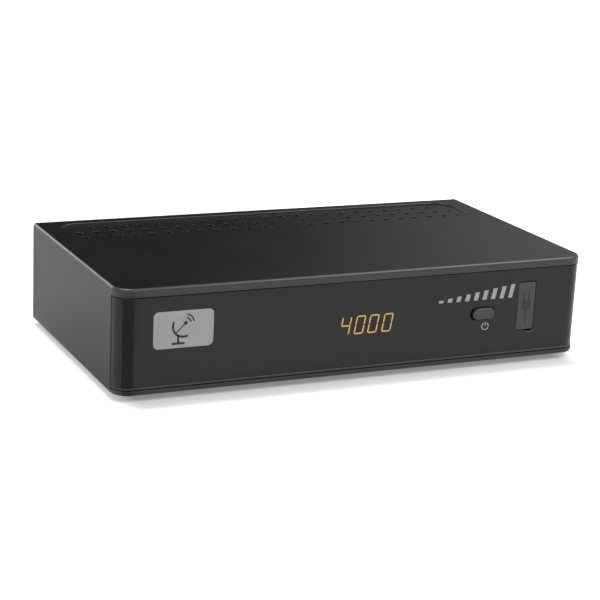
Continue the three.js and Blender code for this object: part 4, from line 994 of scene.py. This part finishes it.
def makeRearPanel(s, p):
    gap, front, back = s.gap, s.inner - s.run, s.outer + s.run
    plate = roundBlock("rearPlate", (-s.half, s.inner, s.low), (s.half, s.outer, s.high), 1, s.corner, 4)
    breakEdges(plate, s.brokenEdge)
    for port in (p.powerSwitch, p.flat, p.av):
        cut(plate, roundBlock("window", (port.x - port.half - gap, front, port.low - gap),
                              (port.x + port.half + gap, back, port.high + gap), 1, s.windowCorner, 3))
    rounds = [(port.x, port.z, port.nose + gap) for port in (p.dc, p.service, p.coax)]
    rounds += [(x, p.lnb.z, p.lnb.nose + gap) for x in p.lnb.x]
    rounds += [(x, s.screwZ, s.screwHole) for x in (-s.screwX, s.screwX)]
    for x, z, radius in rounds:
        cut(plate, barrel("hole", radius, (x, front, z), (x, back, z), 40))
    half = s.ventWidth / 2
    slot = roundBlock("slot", (-half, front, s.ventLow), (half, back, s.ventHigh), 1, half - shy, 6)
    cut(plate, spread(slot, [((i - (s.vents - 1) / 2) * s.ventPitch, 0, 0) for i in range(s.vents)]))
    return finishPiece(plate, "rearPlate", powderCoat, "painted_steel", replaces=["rear_panel"])


makeRearPanel(rearPanel, ports)
print("stage: rear panel")


# Mains rocker switch: a bezelled housing and a shallow V rocker on trunnions, tilted to its on side

switch = Settings(
    ports.powerSwitch, inner=105.2, flangeY=117.3, bezelHalf=10.5, bezelLow=7.3, bezelHigh=21.9, bezelCorner=1,
    bezelEdge=0.5, outer=118.8, pivotY=115.3, hollow=8.85, hollowHalf=5.5, deepest=111.37, stub=1.4, stubReach=6.2,
    radius=8.55, rockerHalf=5.2, rockerEdge=0.3, face=2.6, back=-2, vee=11, trunnion=1.1, trunnionReach=5.9,
    beyond=14, mark=(0.05, 0.03), onMark=(-5.3, -4.9, 1.5), offMark=(5, 1.3, 0.9))


def makeSwitchBody(s):
    x, z, y, far = s.x, s.z, s.pivotY, s.beyond
    body = block("switchHousing", (x - s.half, s.inner, s.low), (x + s.half, s.flangeY, s.high))
    bezel = roundBlock("bezel", (x - s.bezelHalf, s.flangeY, s.bezelLow), (x + s.bezelHalf, s.outer, s.bezelHigh),
                       1, s.bezelCorner, 5)
    unite(body, roundEdges(bezel, s.bezelEdge, 4, level(1, s.outer)))
    hollow = barrel("hollow", s.hollow, (x, y, z - s.hollowHalf), (x, y, z + s.hollowHalf), 64)
    cut(hollow, block("floor", (x - far, s.deepest - far, z - far), (x + far, s.deepest, z + far)))
    cut(body, hollow, barrel("stub", s.stub, (x, y, z - s.stubReach), (x, y, z + s.stubReach), 24))
    return finishPiece(body, "switchHousing", blackNylon, "black_nylon", replaces=["power_switch_body"])


def makeRocker(s):
    x, z, y, tilt, top, far = s.x, s.z, s.pivotY, s.vee, s.pivotY + s.face, s.beyond
    drum = barrel("rocker", s.radius, (x, y, z - s.rockerHalf), (x, y, z + s.rockerHalf), 72)
    cut(drum, block("under", (x - far, y - far, z - far), (x + far, y + s.back, z + far)))
    for side in (-1, 1):
        ends = sorted((x, x + side * far))
        above = block("above", (ends[0], top, z - far), (ends[1], y + far, z + far))
        cut(drum, turnAbout(above, side * tilt, "Z", (x, top, z)))
    breakEdges(drum, s.rockerEdge, 3, 30)
    unite(drum, barrel("trunnion", s.trunnion, (x, y, z - s.trunnionReach), (x, y, z + s.trunnionReach), 24))
    turnAbout(drum, tilt, "Z", (x, y, z))
    finishPiece(drum, "rockerButton", blackNylon, "black_nylon", "rocker", ["power_rocker"])
    (sunk, proud), (left, right, half), (away, outer, inner) = s.mark, s.onMark, s.offMark
    on = block("onMark", (x + left, top - sunk, z - half), (x + right, top + proud, z + half))
    turnAbout(on, -tilt, "Z", (x, top, z))
    off = barrel("offMark", outer, (x + away, top - sunk, z), (x + away, top + proud, z), 40)
    cut(off, barrel("offHole", inner, (x + away, top - 1, z), (x + away, top + 1, z), 40))
    turnAbout(off, tilt, "Z", (x, top, z))
    marks = turnAbout(join("marks", [on, off]), tilt, "Z", (x, y, z))
    finishPiece(marks, "rockerMarks", whiteInk, "black_nylon", "rocker")


makeSwitchBody(switch)
makeRocker(switch)


# Round sockets: a moulded block on the board with a turned nose out through the rear panel

jacks = Settings(
    shoulder=115.8, low=8.1, edge=0.25, lip=0.35, lipRound=0.12, mouth=1.5, boreClose=0.02, boreEnd=1.2, pinSunk=0.8,
    dc=Settings(half=4.5, depth=14, tall=11, end=118.4, bore=2.75, deep=9,
                pin=((1, 0), (1, 8.1), (0.85, 8.5), (0.5, 8.8))),
    service=Settings(half=4, depth=12, tall=8, end=118.2, bore=1.8, deep=9),
    coax=Settings(half=5, depth=11, tall=12, end=125.7, bore=1.7, deep=12, collar=(4.9, 117.3, 118.3),
                  shell=((3.7, -6.2), (4.17, -6.2), (4.17, -0.3), (3.95, 0.02), (3.35, 0.02), (3.2, -0.15),
                         (3.2, -0.5))))


def makeJack(name, s, port, material, node, slot):
    size, shoulder, edge, lip = s[name], s.shoulder, s.edge, s.lip
    x, z, nose, bore, end, bottom = port.x, port.z, port.nose, size.bore, size.end, size.end - size.deep
    made = block(name, (x - size.half, shoulder - size.depth, s.low), (x + size.half, shoulder, s.low + size.tall))
    breakEdges(made, edge)
    start = shoulder - size.depth / 2
    length = end - start
    profile = [(nose, 0)]
    if "collar" in size:
        radius, low, high = size.collar
        profile += [(nose, low - start), (radius, low - start), (radius, high - start - edge),
                    (radius - edge, high - start), (nose, high - start)]
    profile += [(nose, length - lip), (nose - s.lipRound, length - s.lipRound), (nose - lip, length),
                (bore + lip, length), (bore, length - lip), (bore, length - s.mouth)]
    unite(made, setAt(turned("nose", profile), (x, start, z), "back"))
    cut(made, barrel("bore", bore - s.boreClose, (x, bottom, z), (x, end - s.boreEnd, z), 48))
    finishPiece(made, name + "Socket", material, slot, replaces=[node])
    if "pin" in size:
        pin = setAt(turned("pin", size.pin, 32), (x, bottom - s.pinSunk, z), "back")
        finishPiece(pin, name + "Pin", nickelPlate, "nickel")
    if "shell" in size:
        finishPiece(setAt(turned("shell", size.shell), (x, end, z), "back"), name + "Shell", nickelPlate, "nickel")


for name, material, node, slot in (("dc", blackNylon, "dc_jack", "black_nylon"),
                                   ("service", blackNylon, "service_jack", "black_nylon"),
                                   ("coax", orangeInsert, "coax_audio_jack", "orange_insert")):
    makeJack(name, jacks, ports[name], material, node, slot)
print("stage: switch and round sockets")


# Flat digital socket: a drawn shell with chamfered lower corners, a tongue and two rows of contacts

flatSocket = Settings(
    ports.flat, start=106.1, end=118.1, chamfer=1.6, corner=0.35, shell=0.5, cavity=9, tongueHalf=6.1, tongue=0.6,
    tongueShort=1, edge=0.2, contacts=10, contactPitch=1, contact=(0.2, 0.04), contactEnds=(0.5, 1.6))


def makeFlatSocket(s):
    x, half, low, high, end, bottom = s.x, s.half, s.low, s.high, s.end, s.end - s.cavity

    def shape(inset, front, back):
        made = block("shape", (x - half + inset, front, low + inset), (x + half - inset, back, high - inset))
        roundEdges(made, s.chamfer, 1, along(1), level(2, low + inset))
        return roundEdges(made, s.corner, 3, along(1))

    shell = cut(shape(0, s.start, end), shape(s.shell, bottom, end + 1))
    finishPiece(shell, "flatSocketShell", nickelPlate, "nickel", replaces=["hdmi_socket"])
    middle = (low + high) / 2
    tongue = slab("tongue", (x, middle), (s.tongueHalf, s.tongue), (bottom - 1, end - s.tongueShort))
    finishPiece(breakEdges(tongue, s.edge), "flatSocketTongue", blackNylon, "black_nylon")
    strips = []
    for side in (-1, 1):
        last = s.contacts - 1 - (side > 0)
        for index in range(last + 1):
            spot = (x + (index - last / 2) * s.contactPitch, middle + side * s.tongue)
            strips.append(slab("contact", spot, s.contact, (bottom + s.contactEnds[0], end - s.contactEnds[1])))
    finishPiece(join("contacts", strips), "flatSocketContacts", goldFlash, "nickel")


makeFlatSocket(flatSocket)


# Twenty-one pin audio and video socket: a nylon block with one slanted corner, a shroud channel and contact slits

avSocket = Settings(
    ports.av, start=99.2, end=119.2, slant=5, corner=0.5, edge=0.25, rim=1.6, channel=1.9, cavity=9,
    slitHalf=(0.55, 1.7 / 1.2), slitDeep=6, slitPitch=3.8, rows=(-2.6, 2.6), perRow=10)


def makeAvSocket(s):
    x, half, low, high, end, bottom = s.x, s.half, s.low, s.high, s.end, s.end - s.cavity

    def shape(inset, front, back):
        made = block("shape", (x - half + inset, front, low + inset), (x + half - inset, back, high - inset))
        roundEdges(made, s.slant, 1, along(1), level(2, low + inset), level(0, x + half - inset))
        return roundEdges(made, s.corner, 3, along(1))

    body = breakEdges(shape(0, s.start, end), s.edge)
    channel = shape(s.rim, bottom, end + 1)
    cut(body, cut(channel, shape(s.rim + s.channel, bottom - 1, end + 2)))
    slits = []
    for row in s.rows:
        shift = math.copysign(s.slitPitch / 4, row)
        for index in range(s.perRow):
            spot = (x + (index - (s.perRow - 1) / 2) * s.slitPitch + shift, (low + high) / 2 + row)
            slits.append(slab("slit", spot, s.slitHalf, (end - s.slitDeep, end + 1)))
    cut(body, join("slits", slits))
    return finishPiece(body, "avSocketBody", blackNylon, "black_nylon", replaces=["scart_socket"])


makeAvSocket(avSocket)
print("stage: flat sockets")


# Aerial sockets: turned brass with a 32 per inch thread, and a hexagon nut against the rear panel

aerial = Settings(
    start=113.9, foot=((5.4, 0), (5.6, 0.2), (5.6, 1.3), (5.4, 1.5), (4.7, 1.5)), thread=4.7, root=4.35, pitch=0.8,
    groove=(0.45, 0.9), threadLow=2.1, threadHigh=14.5,
    mouth=((4.7, 14.5), (4.1, 15.1), (3.4, 15.1), (3.25, 14.5), (2.4, 14.5), (1.9, 14), (1.9, 6.1)),
    nutStart=117.3, nutThick=2.4, nutAcross=11, nutBore=4.9, nutChamfer=0.35, nutProud=0.1)


def makeAerialSocket(s, x, z, name, node):
    profile = list(s.foot)
    rise = s.threadLow
    while rise + s.pitch < s.threadHigh:
        profile += [(s.thread, rise), (s.root, rise + s.pitch * s.groove[0]), (s.thread, rise + s.pitch * s.groove[1])]
        rise += s.pitch
    made = setAt(turned("aerial", profile + list(s.mouth)), (x, s.start, z), "back")
    return finishPiece(made, name, nickelPlate, "nickel", replaces=[node], angle=30)


def makeAerialNut(s, x, z, name, node):
    radius, thick, start = s.nutAcross / 2 / math.cos(math.pi / 6), s.nutThick, s.nutStart
    inner, outer, chamfer = radius - s.nutChamfer, radius + s.nutProud, s.nutChamfer
    made = barrel("nut", radius, (x, start, z), (x, start + thick, z), 6)
    bevelled = turned("chamfer", [(inner, 0), (outer, chamfer), (outer, thick - chamfer), (inner, thick)])
    combine(made, setAt(bevelled, (x, start, z), "back"), "INTERSECT")
    cut(made, barrel("bore", s.nutBore, (x, start - 1, z), (x, start + thick + 1, z), 48))
    return finishPiece(made, name, nickelPlate, "nickel", replaces=[node], angle=25)


for x, side in zip(ports.lnb.x, ("out", "in")):
    makeAerialSocket(aerial, x, ports.lnb.z, "aerialSocket_" + side, "lnb_" + side + "_connector")
    makeAerialNut(aerial, x, ports.lnb.z, "aerialNut_" + side, "lnb_" + side + "_nut")
print("stage: aerial sockets")


# USB socket behind the door: a folded shell, a white tongue and four contacts

usb = Settings(
    x=81.07, z=24, half=2.9, tall=6.55, front=3.6, depth=13.8, shell=0.4, corner=0.7, innerCorner=0.4, cavity=10.4,
    lug=(8.55, 0.5, 8.2), tongueX=-0.65, tongue=0.95, edge=0.25, contacts=4, contactPitch=2.4, contactHalf=0.5,
    contact=(-0.05, 0.08, 1.8))


def makeUsb(s):
    x, z, front, half, tall, bottom = s.x, s.z, s.front, s.half, s.tall, s.front + s.cavity
    innerHalf, innerTall = half - s.shell, tall - s.shell
    shell = roundEdges(slab("usbShell", (x, z), (half, tall), (front, front + s.depth)), s.corner, 4, along(1))
    inner = slab("cavity", (x, z), (innerHalf, innerTall), (front - 1, bottom))
    cut(shell, roundEdges(inner, s.innerCorner, 3, along(1)))
    reach, thick, back = s.lug
    for side in (-1, 1):
        ends = sorted((z + side * innerTall, z + side * reach))
        unite(shell, block("lug", (x - innerHalf, back - thick, ends[0]), (x + innerHalf, back, ends[1])))
    finishPiece(shell, "usbShell", nickelPlate, "nickel", replaces=["usb_socket"])
    middle = x + s.tongueX
    tongue = slab("tongue", (middle, z), (s.tongue, tall - 2 * s.shell), (front + 1, bottom + 1))
    finishPiece(breakEdges(tongue, s.edge), "usbTongue", whiteNylon, "white_nylon")
    face, (sunk, proud, start) = middle + s.tongue, s.contact
    spots = [z + (index - (s.contacts - 1) / 2) * s.contactPitch for index in range(s.contacts)]
    strips = [block("contact", (face + sunk, front + start, spot - s.contactHalf),
                    (face + proud, bottom, spot + s.contactHalf)) for spot in spots]
    finishPiece(join("contacts", strips), "usbContacts", goldFlash, "nickel")


makeUsb(usb)
print("stage: usb socket")


# Stage: a white table, soft boxes above, and dark flags that keep glare off the lid

studio = Settings(
    floorSize=16, floorColour="#fafafa", nearLift=0.27, farLift=0.95, near=0.28, far=0.9, ambient=0.25,
    beside=(0.1, 0.113), ahead=(-0.0722, -0.0785), shadeLift=-0.05, openLift=0.36)


def whiteRays(owner):
    path = addNode(owner, "LightPath")
    seen = addNode(owner, "Math", {"operation": "MAXIMUM", 0: path["Is Camera Ray"], 1: path["Is Glossy Ray"]})[0]
    return addNode(owner, "Math", {"operation": "MAXIMUM", 0: seen, 1: path["Is Transmission Ray"]})[0]


# The table runs out to plain white: seen by the camera and in reflections it glows less close to the receiver, so the
# receiver's shadow shows there. Seen by the camera, a painted lift whitens the table beside the receiver and from about
# a centimetre in front of it, and a slight painted shade darkens the band behind that line, so the shadow stays close
# by and mostly in front of it
def makeFloor(s):
    deselectAll()
    bpy.ops.mesh.primitive_plane_add(size=s.floorSize)
    floor = bpy.context.object
    floor.name = "floor"
    looks = Settings(colour=s.floorColour, roughness=0.9, specular=0)
    material, shader, where = newMaterial("table_whiteLaminate", looks)
    shader.inputs["Emission Color"].default_value = (1, 1, 1, 1)
    reach = addNode(material, "VectorMath", {"operation": "LENGTH", 0: where})["Value"]
    lift = addNode(material, "MapRange", {0: reach, 1: s.near, 2: s.far, 3: s.nearLift, 4: s.farLift})[0]
    sides = addNode(material, "SeparateXYZ", {0: where})
    across = addNode(material, "Math", {"operation": "ABSOLUTE", 0: sides["X"]})[0]
    beside, ahead = (addNode(material, "MapRange", {0: value, 1: start, 2: end, 3: s.shadeLift, 4: s.openLift})[0]
                     for value, (start, end) in ((across, s.beside), (sides["Y"], s.ahead)))
    beyond = addNode(material, "Math", {"operation": "MAXIMUM", 0: beside, 1: ahead})[0]
    lift = addNode(material, "Math", {"operation": "MULTIPLY", 0: whiteRays(material), 1: lift})[0]
    seen = addNode(material, "LightPath")["Is Camera Ray"]
    lift = addNode(material, "Math", {"operation": "MULTIPLY_ADD", 0: seen, 1: beyond, 2: lift})[0]
    wire(material, shader, {"Emission Strength": lift})
    floor.data.materials.append(material)


def makeWorld(s):
    world = bpy.data.worlds.new("studioWorld")
    bpy.context.scene.world = world
    world.use_nodes = True
    background = world.node_tree.nodes["Background"]
    background.inputs["Color"].default_value = (1, 1, 1, 1)
    lift = addNode(world, "MapRange", {0: whiteRays(world), 3: s.ambient, 4: 1})[0]
    wire(world, background, {"Strength": lift})


# Square soft boxes that look at the receiver: spot and size in metres, power in watts
softboxes = {
    "topSoftbox": ((-0.1, 0.4, 1.6), 0.7, 15),
    "rightSoftbox": ((0.95, -0.25, 1.26), 0.8, 5),
    "frontSoftbox": ((0.8, -0.75, 1.2), 0.75, 5.5),
    "rimSoftbox": ((-0.58, 2.02, 0.64), 0.5, 3.2),
}


def addLight(name, spot, size, power):
    data = bpy.data.lights.new(name, "AREA")
    data.shape = "RECTANGLE"
    data.size = data.size_y = size
    data.energy = power
    light = bpy.data.objects.new(name, data)
    bpy.context.scene.collection.objects.link(light)
    light.location = spot
    light.rotation_euler = (-Vector(spot)).to_track_quat("-Z", "Y").to_euler()


# A square cut into a fine grid and laid out by a rule from its two sides, each 0 to 1; the camera doesn't see it
def makeCard(name, layOut, material):
    deselectAll()
    bpy.ops.mesh.primitive_plane_add(size=1, location=(0.5, 0.5, 0))
    card = bpy.context.object
    card.name = name
    setInMesh(card)
    bpy.ops.object.mode_set(mode="EDIT")
    bpy.ops.mesh.select_all(action="SELECT")
    bpy.ops.mesh.subdivide(number_cuts=cardCuts)
    bpy.ops.object.mode_set(mode="OBJECT")
    for vert in card.data.vertices:
        vert.co = layOut(vert.co.x, vert.co.y)
    card.data.materials.append(material)
    card.visible_camera = False
    return card


def newCardMaterial(name, colour):
    material, shader, where = newMaterial(name, Settings(colour=colour, roughness=1, specular=0))
    shader.inputs["Emission Color"].default_value = (1, 1, 1, 1)
    return material, shader, where


# A tall bent black card behind the receiver, which glows more towards the right: the lid mirrors it as a painted sheen,
# dark where its left mirrors the card and lighter towards the right.
# Bearings are in degrees clockwise from straight behind, the distance is in metres
flag = Settings(
    bearings=(0, 58), elevations=(0.5, 84), distance=2.4, colour="#0a0a0a", paleFrom=19, paleTo=45, pale=0.42)


def makeFlag(s):
    (left, right), (low, high) = s.bearings, s.elevations

    def layOut(across, up):
        bearing = math.radians(left + (right - left) * across)
        elevation = math.radians(low + (high - low) * up)
        flat = s.distance * math.cos(elevation)
        return flat * math.sin(bearing), flat * math.cos(bearing), s.distance * math.sin(elevation)

    material, shader, where = newCardMaterial("flag_glowGradient", s.colour)
    sides = addNode(material, "SeparateXYZ", {0: where})
    bearing = addNode(material, "Math", {"operation": "ARCTAN2", 0: sides["X"], 1: sides["Y"]})[0]
    start, end = math.radians(s.paleFrom), math.radians(s.paleTo)
    pale = addNode(material, "MapRange", {
        "interpolation_type": "SMOOTHSTEP", 0: bearing, 1: start, 2: end, 3: 0, 4: s.pale})[0]
    wire(material, shader, {"Emission Strength": pale})
    makeCard("backFlag", layOut, material)


# Grey cards on the table by the left front corner, which only the glossy walls show, as painted reflections: a darker
# stripe on the rounded corner, and on the side wall a reflection that is darker near the receiver, as painted shade of
# the table there. They are fans between two angles round a spot, from one reach to another in millimetres, and glow
# from the first level at the spot to the second at the fade's distance
cards = Settings(
    cornerCard=Settings(
        spot=(-103.8, 3.9), reach=(2, 185), angles=(213.8, 289.8), colour="#c4c4c4", glow=(0, 0), fade=185, high=-2),
    sideCard=Settings(
        spot=(-109, 6), reach=(2, 430), angles=(92, 130), colour="#3a3a3a", glow=(0.35, 0.65), fade=165, high=-2))


def makeTableCard(name, s):
    (near, far), (start, end) = s.reach, s.angles

    def layOut(across, out):
        angle = math.radians(start + (end - start) * across)
        reach = near + (far - near) * out
        return place(s.spot[0] + reach * math.cos(angle), s.spot[1] + reach * math.sin(angle), s.high)

    material, shader, where = newCardMaterial(name + "_paintedReflection", s.colour)
    spot = tuple(place(*s.spot, s.high))
    away = addNode(material, "VectorMath", {"operation": "DISTANCE", 0: where, 1: spot})["Value"]
    glow = addNode(material, "MapRange", {0: away, 1: 0, 2: s.fade * mm, 3: s.glow[0], 4: s.glow[1]})[0]
    wire(material, shader, {"Emission Strength": glow})
    card = makeCard(name, layOut, material)
    card.visible_diffuse = card.visible_shadow = False


makeFloor(studio)
makeWorld(studio)
makeFlag(flag)
for name, s in cards.items():
    makeTableCard(name, s)
for name, light in softboxes.items():
    addLight(name, *light)

bpy.context.scene.view_settings.view_transform = "Standard"
print("stage: studio")
